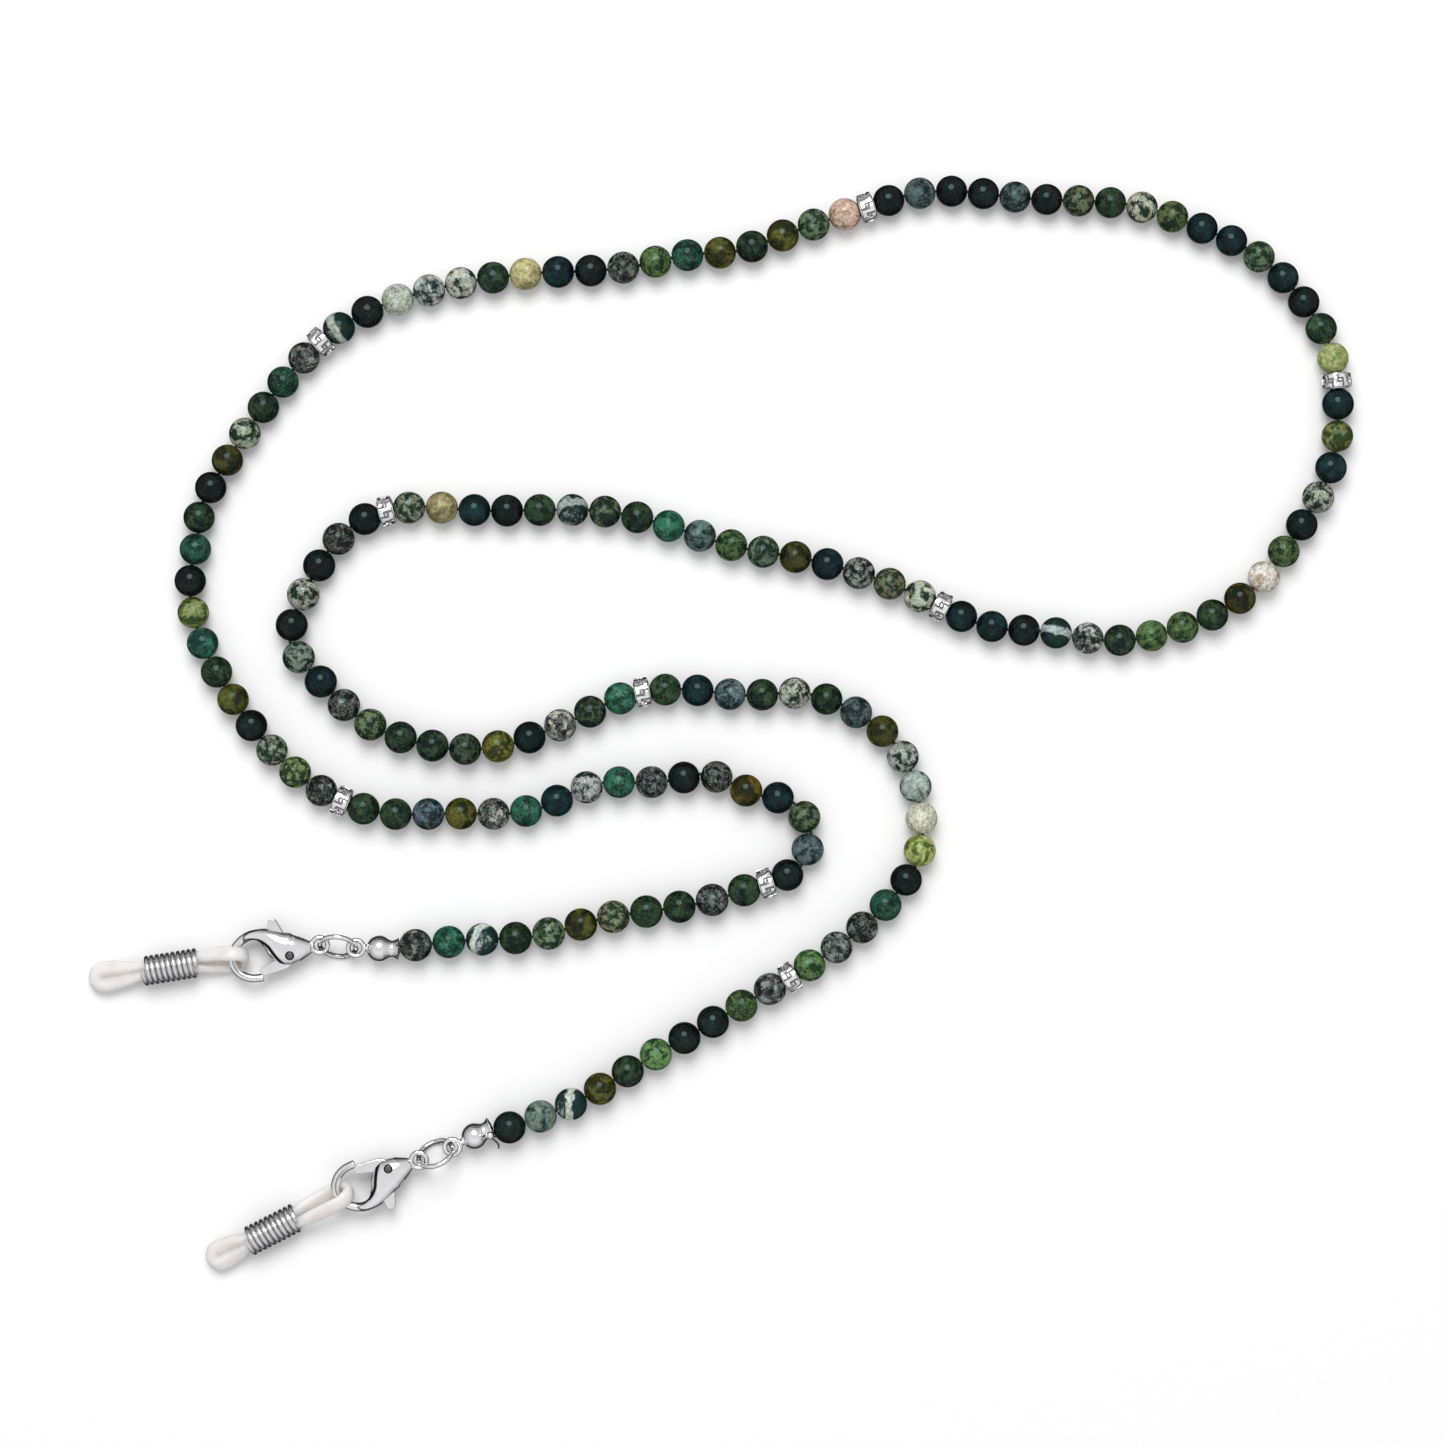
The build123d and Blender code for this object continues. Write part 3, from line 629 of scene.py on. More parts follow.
def kind_of(mark, rng):
    dark, light, vein, edge, veins, flecks, clear, band, scale = KIND[mark[0]]
    dark, light, vein = (np.array(rgb(*c)[:3]) for c in (dark, light, vein))
    gain = 1.0
    for c in mark[1:]:
        if c == "+":
            gain *= 1.55
        elif c == "-":
            gain *= 0.60
        elif c == "w":
            edge -= 0.02
            light = light * 0.45 + np.array(rgb(222, 222, 214)[:3]) * 0.55
            veins = 1.0
        elif c == "c":
            clear = max(clear, 0.30)
            light = light * 0.6 + np.array(rgb(190, 198, 188)[:3]) * 0.4
            edge -= 0.03
        else:
            light = light * np.array(TINT[c])
            dark = dark * (0.5 + 0.5 * np.array(TINT[c]))
    gain *= rng.uniform(0.82, 1.22)
    tone = np.array([rng.uniform(0.92, 1.08), 1.0, rng.uniform(0.90, 1.10)])
    edge += rng.uniform(-0.035, 0.035)
    return dark * gain * tone, np.minimum(light * gain * tone, 0.92), vein, edge, veins * rng.uniform(0.6, 1.0), \
        flecks * rng.uniform(0.4, 1.0), clear, band, scale * rng.uniform(0.85, 1.2)


def bead_shell(diameter, rng, seg=40, rows=26):
    """Bored bead about x: a polished ball with a chamfered hole, a touch out of round."""
    r, bore = diameter / 2, 0.46
    end = math.asin((bore + 0.07) / r)
    t = np.linspace(end, math.pi - end, rows)
    profile = [(-r * math.cos(a), r * math.sin(a)) for a in t]
    x_end = profile[-1][0]
    inner = np.linspace(x_end - 0.10, -x_end + 0.10, 6)
    profile += [(x, bore) for x in inner]
    profile = np.array(profile)
    angle = np.linspace(0, 2 * math.pi, seg, endpoint=False)
    n = len(profile)
    y = profile[:, 1][:, None] * np.cos(angle)[None, :]
    z = profile[:, 1][:, None] * np.sin(angle)[None, :]
    x = np.repeat(profile[:, 0][:, None], seg, 1)
    verts = np.stack([x, y, z], -1).reshape(-1, 3)
    squeeze = np.array([1.0, rng.uniform(0.988, 1.0), rng.uniform(0.988, 1.0)])
    verts = verts * squeeze
    return verts, rings_to_faces(n, seg, True, False)


def seated(s, half):
    return (at(s) + (at(s - half) + at(s + half)) * 0.5) * 0.5


def spread(first, last, count):
    lo, hi = 3.4, 4.6
    for _ in range(24):
        pitch = (lo + hi) / 2
        s, stations = first, [first]
        for _ in range(count - 1):
            here = seated(s, 2.0)
            a, b = s + pitch * 0.9, s + pitch * 1.3
            for _ in range(18):
                mid = (a + b) / 2
                if np.linalg.norm(seated(mid, 2.0) - here) < pitch:
                    a = mid
                else:
                    b = mid
            s = (a + b) / 2
            stations.append(s)
        if s < last:
            lo = pitch
        else:
            hi = pitch
    return stations, pitch


def bore_frame(s, half):
    run = at(s + half) - at(s - half)
    x = run / np.linalg.norm(run)
    y = np.cross((0, 0, 1), x)
    y /= np.linalg.norm(y)
    return seated(s, half), np.stack([x, y, np.cross(x, y)], 0)


RONDELLE_AT = []
for k in range(1, 10):
    low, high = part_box(f"rondelle_{k}")
    RONDELLE_AT.append(nearest((low + high) / 2 / MM))
FIRST, LAST = 3.88, THREAD_LENGTH - 3.99
stops = [FIRST] + RONDELLE_AT + [LAST]
on_thread = []
rng = random.Random(41)
for k, row in enumerate(ORDER):
    marks = row.split()
    first = stops[k] + (0 if k == 0 else 2.82)
    last = stops[k + 1] - (0 if k == 9 else 2.82)
    stations, pitch = spread(first, last, len(marks))
    diameter = min(4.05, pitch - 0.006)
    verts, faces, base = [], [], 0
    data = {key: [] for key in ("at", "offset", "dark", "light", "vein", "edge", "veins", "flecks", "clear", "band", "scale")}
    for mark, s in zip(marks, stations):
        shell, shell_faces = bead_shell(diameter * rng.uniform(0.992, 1.0), rng)
        n = len(shell)
        turn = rng.uniform(0, 2 * math.pi)
        c, w = math.cos(turn), math.sin(turn)
        spun = shell @ np.array([[1, 0, 0], [0, c, w], [0, -w, c]])
        centre, axes = bore_frame(s, 2.0)
        verts.append(spun @ axes + centre)
        faces += [tuple(base + i for i in f) for f in shell_faces]
        base += n
        axis = Vector((rng.gauss(0, 1), rng.gauss(0, 1), rng.gauss(0, 1))).normalized()
        spin = np.array(Matrix.Rotation(rng.uniform(0, math.pi * 2), 3, axis))
        dark, light, vein, edge, veins, flecks, clear, band, scale = kind_of(mark, rng)
        data["at"].append(shell @ spin.T)
        data["offset"].append(np.tile([rng.uniform(-60, 60) for _ in range(3)], (n, 1)))
        for key, colour in (("dark", dark), ("light", light), ("vein", vein)):
            data[key].append(np.tile([*colour, 1.0], (n, 1)))
        for key, value in (("edge", edge), ("veins", veins), ("flecks", flecks), ("clear", clear), ("band", band), ("scale", scale)):
            data[key].append(np.full(n, value))
    kinds = {"at": "FLOAT_VECTOR", "offset": "FLOAT_VECTOR", "dark": "FLOAT_COLOR", "light": "FLOAT_COLOR", "vein": "FLOAT_COLOR"}
    ob = place(
        f"bead_run_{k + 1}", np.concatenate(verts), faces, "strand", "moss_agate", [f"agate_beads_{k + 1}"], True, 40,
        {f"stone_{key}": (kinds.get(key, "FLOAT"), np.concatenate(values)) for key, values in data.items()},
    )
    on_thread.append(ob)

# ------------------------------------------------------------------ rondelles
TEETH = 9


def rondelle_shell():
    """Cast spacer about x. Rim with interlocking bent slots, collars and dark recesses."""
    w, r_rim, seg = 0.95, 1.80, TEETH * 36
    rim_x = np.linspace(-0.80, 0.80, 45)
    left = [(-0.62, 0.66), (-0.70, 0.78), (-0.80, 0.90), (-0.90, 0.985), (-0.935, 1.01), (-0.95, 1.06), (-0.95, 1.27),
            (-0.935, 1.325), (-0.89, 1.35), (-0.845, 1.36), (-0.83, 1.40), (-0.83, 1.58), (-0.825, 1.67), (-0.815, 1.72)]
    profile = left + [(x, r_rim - 0.055 * max(0.0, (abs(x) - 0.70) / 0.10) ** 2) for x in rim_x] + [(-x, r) for x, r in left[::-1]]
    profile += [(x, 0.65) for x in np.linspace(0.5, -0.5, 5)]
    profile = np.array(profile)
    angle = np.linspace(0, 2 * math.pi, seg, endpoint=False)
    X = np.repeat(profile[:, 0][:, None], seg, 1)
    R = np.repeat(profile[:, 1][:, None], seg, 1)
    A = np.repeat(angle[None, :], len(profile), 0)
    pitch = 2 * math.pi / TEETH
    arc = 1.8

    def slot(shift, sign):
        """Signed distance, in millimetres, to bent slots from one edge."""
        a = ((A - shift + pitch / 2) % pitch - pitch / 2) * arc
        x = X * sign
        stem = np.maximum(np.abs(a) - 0.105, -0.30 - x)
        foot = np.maximum(np.abs(a - 0.17 * sign) - 0.275, np.abs(x + 0.20) - 0.10)
        return np.minimum(stem, foot)

    d = np.minimum(slot(0, 1), slot(pitch / 2, -1))
    outer = np.clip((R - 1.40) / 0.10, 0, 1)
    depth = np.clip(0.5 - d / 0.07, 0, 1)
    depth = depth * depth * (3 - 2 * depth) * outer
    R2 = R - depth * np.minimum(0.26, np.maximum(R - 1.50, 0))
    soft = 0.012 * np.sin(A * TEETH * 2 + X * 5) * outer
    R2 = R2 + soft
    verts = np.stack([X, R2 * np.cos(A), R2 * np.sin(A)], -1).reshape(-1, 3)
    # on the spacer this attribute holds only oxide in the slots and recesses
    painted_shade_and_oxide = np.clip(depth * 1.0, 0, 1)
    recess = ((np.abs(X) > 0.60) & (R < 1.04)).astype(float) + ((np.abs(X) < 0.86) & (R < 1.66) & (R > 1.36)).astype(float) * 0.85
    painted_shade_and_oxide = np.clip(np.maximum(painted_shade_and_oxide * 0.9, recess), 0, 1)
    return verts, rings_to_faces(len(profile), seg, True, False), painted_shade_and_oxide.reshape(-1)


shell, shell_faces, painted_shade_and_oxide = rondelle_shell()
for k, s in enumerate(RONDELLE_AT):
    centre, axes = bore_frame(s, 0.95)
    turn = rng.uniform(0, 2 * math.pi)
    c, w = math.cos(turn), math.sin(turn)
    spun = shell @ np.array([[1, 0, 0], [0, c, w], [0, -w, c]])
    ob = place(f"spacer_{k + 1}", spun @ axes + centre, shell_faces, "strand", "cast_silver", [f"rondelle_{k + 1}"],
               True, 50, {"painted_shade_and_oxide": ("FLOAT", painted_shade_and_oxide)})
    on_thread.append(ob)

# ------------------------------------------------------------------ clasp tables
CLASP_Z = 2.20
CLAW = [
    (1.08, 0.28, 1.50, 1.30), (1.95, 0.36, 2.50, 2.10), (2.93, 0.46, 3.50, 2.70),
    (3.90, 0.46, 4.10, 3.00), (4.88, 0.05, 3.80, 3.00), (5.86, -0.62, 2.85, 2.70),
    (6.84, -1.10, 1.95, 2.20), (7.82, -1.25, 1.35, 1.75), (8.85, -1.02, 1.14, 1.45),
    (9.85, -0.28, 1.08, 1.30), (10.50, 0.75, 1.06, 1.24), (10.66, 1.85, 1.06, 1.20),
    (10.30, 2.88, 1.04, 1.20), (9.40, 3.70, 1.02, 1.18), (8.20, 4.06, 1.00, 1.16),
    (6.80, 3.92, 0.98, 1.12),
]
LEVER = [
    (2.95, 1.75), (2.80, 0.95), (3.30, 0.30), (4.10, -0.95), (4.72, -1.95),
    (5.12, -2.62), (5.36, -3.00), (5.68, -3.22), (6.02, -3.18), (6.26, -2.88), (6.32, -2.30), (5.98, -1.30),
    (5.10, 0.20), (4.75, 1.30), (5.25, 1.72), (7.28, 2.92), (7.24, 3.10),
    (6.76, 3.68), (6.10, 3.50), (5.00, 3.18), (3.85, 2.72),
]
SLOT = [
    (2.40, 1.95), (2.15, 0.60), (2.75, -0.30), (2.60, -2.60), (4.60, -4.60),
    (6.45, -3.80), (6.42, -1.20), (5.75, 0.30), (9.00, -0.10), (9.00, 2.40),
    (7.62, 2.86), (6.78, 3.86), (6.40, 4.90), (3.00, 4.20),
]
PIVOT = (3.54, 1.22)
# painted shade: a dark line painted along the inner edge of the body, where the gate's channel lies in shadow
SHADE_LINE_PATH = [(8.15, -0.72), (7.50, -0.60), (6.90, -0.36), (6.20, 0.12), (5.68, 0.78), (5.25, 1.36), (4.60, 2.08), (3.95, 2.58)]
# painted shade: path of a dark line painted along the inside of the hook
HOOK_SHADE_PATH = [(9.55, -0.50), (10.28, 0.55), (10.56, 1.75), (10.27, 2.76), (9.42, 3.58), (8.25, 3.94), (7.05, 3.86)]
COIL_R, COIL_WIRE, COIL_PITCH, COIL_TURNS = 1.57, 0.275, 0.655, 10
COIL_Z = COIL_R + COIL_WIRE + 0.01


def torus_points(centre, radius, count, x=(1, 0, 0), y=(0, 1, 0), start=0.0, stop=2 * math.pi, closed=True):
    t = np.linspace(start, stop, count, endpoint=not closed)
    return np.asarray(centre, float) + radius * (np.cos(t)[:, None] * np.asarray(x, float) + np.sin(t)[:, None] * np.asarray(y, float))


def clasp_body(name, end):
    rows = catmull([(x, y, CLASP_Z, w, h) for x, y, w, h in CLAW], 150)
    seg = 44
    angle = np.linspace(0, 2 * math.pi, seg, endpoint=False)
    ahead = np.gradient(rows[:, :3], axis=0)
    ahead /= np.linalg.norm(ahead, axis=1)[:, None]
    power = 2 / 2.25
    ca, sa = np.cos(angle), np.sin(angle)
    ea, es = np.sign(ca) * np.abs(ca) ** power, np.sign(sa) * np.abs(sa) ** power
    verts = []
    for row, d in zip(rows, ahead):
        side = np.array([-d[1], d[0], 0])
        verts.append(row[:3] + ea[:, None] * side * row[3] / 2 + es[:, None] * np.array([0, 0, 1]) * row[4] / 2)
    verts = np.concatenate(verts)
    faces = rings_to_faces(len(rows), seg)
    eye, eye_faces = sweep(torus_points((0, 0, CLASP_Z), 0.95, 64), 0.30, 20, True)
    neck, neck_faces = sweep([(0.78, 0.05, CLASP_Z), (1.10, 0.22, CLASP_Z), (1.5, 0.32, CLASP_Z)], [0.34, 0.48, 0.62], 20)
    n = len(verts)
    faces += [tuple(n + i for i in f) for f in eye_faces]
    n += len(eye)
    faces += [tuple(n + i for i in f) for f in neck_faces]
    ob = raw(name, np.concatenate([verts, eye, neck]), faces)
    melt(ob, 0.055, 22)
    cut(ob, prism("slot", SLOT, CLASP_Z - 0.67, CLASP_Z + 0.67))
    # open rivet hole, countersunk on both faces
    hole, hole_faces = sweep([(*PIVOT, 4.2), (*PIVOT, 3.62), (*PIVOT, 3.46), (*PIVOT, 0.94), (*PIVOT, 0.78), (*PIVOT, 0.2)],
                             [0.60, 0.56, 0.405, 0.405, 0.56, 0.60], 40, up=(0, 1, 0))
    cut(ob, raw("hole", hole, hole_faces))
    at_mm = np.array([v.co for v in ob.data.vertices], float)
    # painted shade: a dark line along the path above, narrower towards the claw tip
    path = catmull([(x, y, 0) for x, y in SHADE_LINE_PATH], 70)[:, :2]
    gap = np.min(np.linalg.norm(at_mm[:, None, :2] - path[None, :, :], axis=2), axis=1)
    taper = np.clip((8.35 - at_mm[:, 0]) / 0.9, 0.35, 1.0)
    line = np.clip((0.20 * taper + 0.05 - gap) / 0.10, 0, 1)
    # painted shade: a dark ring painted round the rivet hole, inside its countersink
    pit = np.linalg.norm(at_mm[:, :2] - np.array(PIVOT), axis=1)
    ring = np.clip((0.60 - pit) / 0.07, 0, 1)
    # painted shade: the slot's walls near the inner edge are painted dark; all the painted shade of the body is
    # gathered here
    slot_shade = (np.abs(at_mm[:, 2] - CLASP_Z) < 0.69) & (gap < 1.2)
    painted_shade = np.maximum(np.maximum(line, ring), slot_shade * 0.8)
    # painted shade: a dark line along the hook, fading at both ends
    hook_shade_path = catmull([(x, y, 0) for x, y in HOOK_SHADE_PATH], 80)[:, :2]
    near = np.linalg.norm(at_mm[:, None, :2] - hook_shade_path[None, :, :], axis=2)
    share = np.argmin(near, axis=1) / (len(hook_shade_path) - 1)
    fade = np.clip(np.minimum(share, 1 - share) / 0.25, 0, 1)
    painted_shade = np.maximum(painted_shade, np.clip((0.15 - np.min(near, axis=1)) / 0.08, 0, 1) * fade * 0.62)
    # painted shade on the inner wall of the eye
    eye_shade = np.clip((0.84 - np.hypot(at_mm[:, 0], at_mm[:, 1])) / 0.14, 0, 1) * 0.75
    paint_shade(ob, np.maximum(painted_shade, eye_shade))
    to_metres(ob, flat_frame(end["eye"], end["clasp_dir"], end["side"]))
    return ob


def bevelled(ob, width, segments=3, angle=35):
    m = ob.modifiers.new("edge", "BEVEL")
    m.width = width
    m.segments = segments
    m.limit_method = "ANGLE"
    m.angle_limit = math.radians(angle)
    m.harden_normals = False
    return baked(ob)


def clasp_lever(name, end):
    rounded = catmull([(x, y, 0) for x, y in LEVER], 20 * 5, True)[:, :2]
    ob = prism(name, rounded.tolist(), CLASP_Z - 0.55, CLASP_Z + 0.55)
    hole, hole_faces = sweep([(*PIVOT, 4.0), (*PIVOT, 0.5)], 0.45, 36, up=(0, 1, 0))
    cut(ob, raw("hole", hole, hole_faces))
    bevelled(ob, 0.09, 3, 50)
    to_metres(ob, flat_frame(end["eye"], end["clasp_dir"], end["side"]))
    return ob


def paint_shade(ob, values):
    # stores painted shade for the plate material as a per-vertex attribute
    a = ob.data.attributes.new("painted_shade_and_oxide", "FLOAT", "POINT")
    a.data.foreach_set("value", np.asarray(values, np.float32))


def revolve_half(profile, keep, seg=40):
    """Half of a shell of revolution about x, closed. keep is 1 for the upper half."""
    profile = np.asarray(profile, float)
    n = len(profile)
    angle = np.linspace(0.013, math.pi - 0.013, seg) * keep
    rings = []
    for a in angle:
        rings.append(np.stack([profile[:, 0], profile[:, 1] * math.cos(a), profile[:, 1] * math.sin(a)], -1))
    return np.concatenate(rings), rings_to_faces(seg, n, False, True)


def calotte(name, end, letter):
    R, t, mouth = 1.58, 0.26, 1.34
    cx, cy = end["calotte"]
    lx, ly = end["loop"]
    heading = math.degrees(math.atan2(ly - cy, lx - cx))
    reach = math.dist((cx, cy), (lx, ly))
    outer = [(R * math.cos(a), R * math.sin(a)) for a in np.linspace(0.0, 1.92, 22)]
    flare = [(-0.95, 1.245), (-1.30, 1.05), (-1.60, 1.005), (-1.86, 1.09), (-2.08, 1.22), (-2.26, mouth)]
    lip = [(-2.315, mouth + 0.005), (-2.345, mouth - 0.07), (-2.32, mouth - 0.17)]
    back = [(-2.12, 1.02), (-1.88, 0.86), (-1.60, 0.76), (-1.30, 0.80), (-0.95, 0.99)]
    inner = [((R - t) * math.cos(a), (R - t) * math.sin(a)) for a in np.linspace(1.90, 0.0, 18)]
    front = catmull([(x, r, 0) for x, r in outer[-3:] + flare + lip + back + inner[:2]], 60)[:, :2].tolist()
    profile = outer[:-3] + front + inner[2:]
    place_matrix = flat_frame((cx, cy), heading, 1)
    out = []
    for part, keep in (("upper", 1), ("lower", -1)):
        verts, faces = revolve_half(profile, keep)
        verts = verts + np.array([0, 0, THREAD_Z])
        if part == "lower":
            # tab and loop grown out of the lower cup
            tab = catmull([(R - 0.16, 0, THREAD_Z - 0.34), (R + 0.10, 0, THREAD_Z - 0.26), (reach - 0.95, 0, THREAD_Z - 0.02)], 14)
            tv, tf = sweep(tab, np.linspace(0.50, 0.33, len(tab)), 20)
            ov, of = sweep(torus_points((reach, 0, THREAD_Z), 0.95, 72), 0.285, 20, True)
            n = len(verts)
            faces = faces + [tuple(n + i for i in f) for f in tf]
            n += len(tv)
            faces = faces + [tuple(n + i for i in f) for f in of]
            verts = np.concatenate([verts, tv, ov])
        ob = raw(f"calotte_{part}_half_{letter}", verts, faces)
        # painted shade on the inner side of the loop
        paint_shade(ob, np.clip((0.84 - np.hypot(verts[:, 0] - reach, verts[:, 1])) / 0.14, 0, 1) * 0.75)
        to_metres(ob, place_matrix)
        dress(ob, "strand", "silver_plate", [f"calotte_{part}_{letter}"], True, 38)
        out.append(ob)
    return out


def jump_ring(end, letter):
    lx, ly = end["loop"]
    ex, ey = end["eye"]
    mid = np.array([(lx + ex) / 2, (ly + ey) / 2, 2.13])
    line = np.array([ex - lx, ey - ly, 0.0])
    radius = np.linalg.norm(line) / 2
    line /= np.linalg.norm(line)
    across = np.array([-line[1], line[0], 0])
    if across[1] * end["ring_high"] < 0:
        across = -across
    tilt = math.radians(55)
    rise = across * math.cos(tilt) + np.array([0, 0, 1]) * math.sin(tilt)
    split = math.radians(248)
    gap = 0.012
    points = torus_points(mid, radius, 140, line, rise, split + gap, split + 2 * math.pi - gap, False)
    skew = np.linspace(-0.5, 0.5, len(points))[:, None] ** 5 * 1.6
    points = points + skew * np.cross(line, rise)
    verts, faces = sweep(points, 0.30, 20, False, up=tuple(np.cross(line, rise)))
    # painted shade on the inner side of the ring, facing its centre
    inward = (mid - np.repeat(points, 20, 0)) / radius
    painted_shade = np.clip((np.einsum("ij,ij->i", verts - np.repeat(points, 20, 0), inward) / 0.30 - 0.55) / 0.35, 0, 1) * 0.7
    return place(f"split_ring_{letter}", verts, faces, f"jump_ring_{letter}", "silver_plate", [f"jump_ring_{letter}"],
                 True, 45, {"painted_shade_and_oxide": ("FLOAT", painted_shade)})


def coil(end, letter):
    rnd = random.Random(end["seed"])
    c, s = math.cos(math.radians(end["coil_dir"])), math.sin(math.radians(end["coil_dir"]))
    along = np.array([c, s, 0.0])
    up = np.array([0, 0, 1.0])
    across = np.cross(along, up)
    length = COIL_PITCH * COIL_TURNS
    base = np.array([*end["coil"], COIL_Z]) - along * length / 2
    t = np.linspace(-0.15, COIL_TURNS * 2 * math.pi + 0.15, COIL_TURNS * 56)
    wob = [rnd.uniform(-0.022, 0.022) for _ in range(COIL_TURNS + 3)]
    drift = np.interp(t / (2 * math.pi), range(-1, COIL_TURNS + 2), wob)
    shift = np.interp(t / (2 * math.pi) + 0.5, range(-1, COIL_TURNS + 2), wob[::-1])
    r = COIL_R + drift * 0.6
    points = base + along * (COIL_PITCH * t / (2 * math.pi) + shift)[:, None] \
        + r[:, None] * (np.cos(t)[:, None] * up + np.sin(t)[:, None] * across)
    seg = 18
    verts, faces = sweep(points, COIL_WIRE - 0.004, seg, False, up=tuple(along))
    angle = np.linspace(0, 2 * math.pi, seg, endpoint=False)
    wire = np.stack([
        np.tile(np.cos(angle) * 3.0, len(t)), np.tile(np.sin(angle) * 3.0, len(t)), np.repeat(t * 0.12, seg)], -1)
    return place(f"coil_spring_{letter}", verts, faces, f"sleeve_{letter}", "steel_wire", [f"coil_sleeve_{letter}"],
                 True, 45, {"wire_at": ("FLOAT_VECTOR", wire)})


def strand_rows(end):
    tip, (ox, oy), (ux, uy), (ex, ey) = end["tip"], end["over"], end["under"], end["end"]
    low = 0.95
    over = [
        (tip - 0.98, 0.00, low, 0.90, 0.87), (tip - 0.85, 0.50, low, 0.92, 0.87),
        (tip - 0.49, 0.82, low, 0.98, 0.87), (tip, 0.90, low + 0.02, 1.01, 0.87),
        (tip * 0.90, 0.89, low + 0.08, 1.00, 0.86), (tip * 0.80, 0.84, low + 0.20, 0.95, 0.81),
        (tip * 0.64, 0.71, low + 0.50, 0.80, 0.72), (-4.15, 0.60, COIL_Z - 0.14, 0.64, 0.62),
        (-2.60, 0.59, COIL_Z, 0.58, 0.60), (-0.20, 0.59, COIL_Z + 0.12, 0.58, 0.60),
        (2.30, 0.60, COIL_Z + 0.22, 0.59, 0.60), (3.45, 0.66, COIL_Z + 0.34, 0.66, 0.62),
        (4.60, 0.74, COIL_Z + 0.72, 0.82, 0.64),
        (ox * 0.5 + 2.6, 0.5 * oy + 0.42, 3.16, 0.93, 0.62),
        (ox, oy, CLASP_Z + 1.36, 0.92, 0.60),
        (ox + (ex - ox) * 0.71, oy + (ey - oy) * 0.35, CLASP_Z + 0.98, 0.88, 0.60),
        (ex, ey, CLASP_Z, 0.86, 0.60),
    ]
    under = [
        over[0], (tip - 0.85, -0.50, low, 0.92, 0.87), (tip - 0.49, -0.82, low, 0.98, 0.87),
        (tip, -0.90, low + 0.02, 1.01, 0.87), (tip * 0.90, -0.89, low + 0.07, 1.00, 0.86),
        (tip * 0.80, -0.84, low + 0.18, 0.95, 0.81), (tip * 0.64, -0.71, low + 0.46, 0.80, 0.72),
        (-4.15, -0.60, COIL_Z - 0.16, 0.64, 0.62), (-2.60, -0.59, COIL_Z - 0.08, 0.58, 0.60),
        (-0.20, -0.59, COIL_Z - 0.14, 0.58, 0.60), (2.30, -0.60, COIL_Z - 0.26, 0.59, 0.60),
        (3.45, -0.64, COIL_Z - 0.40, 0.68, 0.62), (4.60, -0.72, COIL_Z - 0.62, 0.84, 0.63),
        (ux * 0.5 + 2.6, 0.5 * uy - 0.36, 0.92, 0.95, 0.61),
        (ux, uy, CLASP_Z - 1.36, 0.92, 0.60),
        (ux + (ex - ux) * 0.71, uy + (ey - uy) * 0.35, CLASP_Z - 0.98, 0.88, 0.60),
        over[-1],
    ]
    return over, under


def silicone(end, letter):
    over, under = strand_rows(end)
    ring = over[:-1] + under[:0:-1]
    k = len(over) - 1
    ring = ring[k:] + ring[:k]
    rows = catmull(ring, len(ring) * 8, True)
    n = len(rows)
    ahead = np.roll(rows[:, :3], -1, 0) - np.roll(rows[:, :3], 1, 0)
    ahead /= np.linalg.norm(ahead, axis=1)[:, None]
    x = np.array([0, 1.0, 0])
    frames = []
    for i in range(n):
        x = x - ahead[i] * (x @ ahead[i])
        x /= np.linalg.norm(x)
        frames.append(x)
    last = x - ahead[0] * (x @ ahead[0])
    last /= np.linalg.norm(last)
    off = math.atan2(np.cross(last, frames[0]) @ ahead[0], last @ frames[0])
    # the leftover turn goes into the round sections near the tip
    tip_i = int(np.argmin(rows[:, 0]))
    share = np.clip((np.arange(n) - (tip_i - 20)) / 40, 0, 1)
    share = share * share * (3 - 2 * share)
    seg = 32
    angle = np.linspace(0, 2 * math.pi, seg, endpoint=False)
    full = 2 / 2.4
    wide = np.sign(np.cos(angle)) * np.abs(np.cos(angle)) ** full
    tall = np.sign(np.sin(angle)) * np.abs(np.sin(angle)) ** full
    verts = []
    for i in range(n):
        a = off * share[i]
        u = frames[i] * math.cos(a) + np.cross(ahead[i], frames[i]) * math.sin(a)
        v = np.cross(ahead[i], u)
        verts.append(rows[i, :3] + rows[i, 3] * wide[:, None] * u + rows[i, 4] * tall[:, None] * v)
    verts = np.concatenate(verts)
    matrix = np.array(flat_frame(end["coil"], end["coil_dir"], end["side"]))
    verts = verts @ matrix[:3, :3].T + matrix[:3, 3]
    ob = raw(f"silicone_band_{letter}", verts, rings_to_faces(n, seg, True, False))
    melt(ob, 0.085, 12)
    to_metres(ob)
    dress(ob, f"temple_loop_{letter}", "clear_silicone", [f"silicone_loop_{letter}"])
    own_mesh(ob)
    return ob


def knot(end, letter):
    """Overhand knot of the thread inside the calotte."""
    cx, cy = end["calotte"]
    t = np.linspace(0, 2 * math.pi, 120, endpoint=False)
    p = np.stack([np.sin(t) + 2 * np.sin(2 * t), np.cos(t) - 2 * np.cos(2 * t), -np.sin(3 * t)], -1)
    p = p / np.abs(p).max() * np.array([0.66, 0.66, 0.42]) + np.array([cx, cy, THREAD_Z])
    verts, faces = sweep(p, 0.21, 14, True)
    return place(f"overhand_knot_{letter}", verts, faces, "strand", "black_thread", [f"thread_knot_{letter}"])


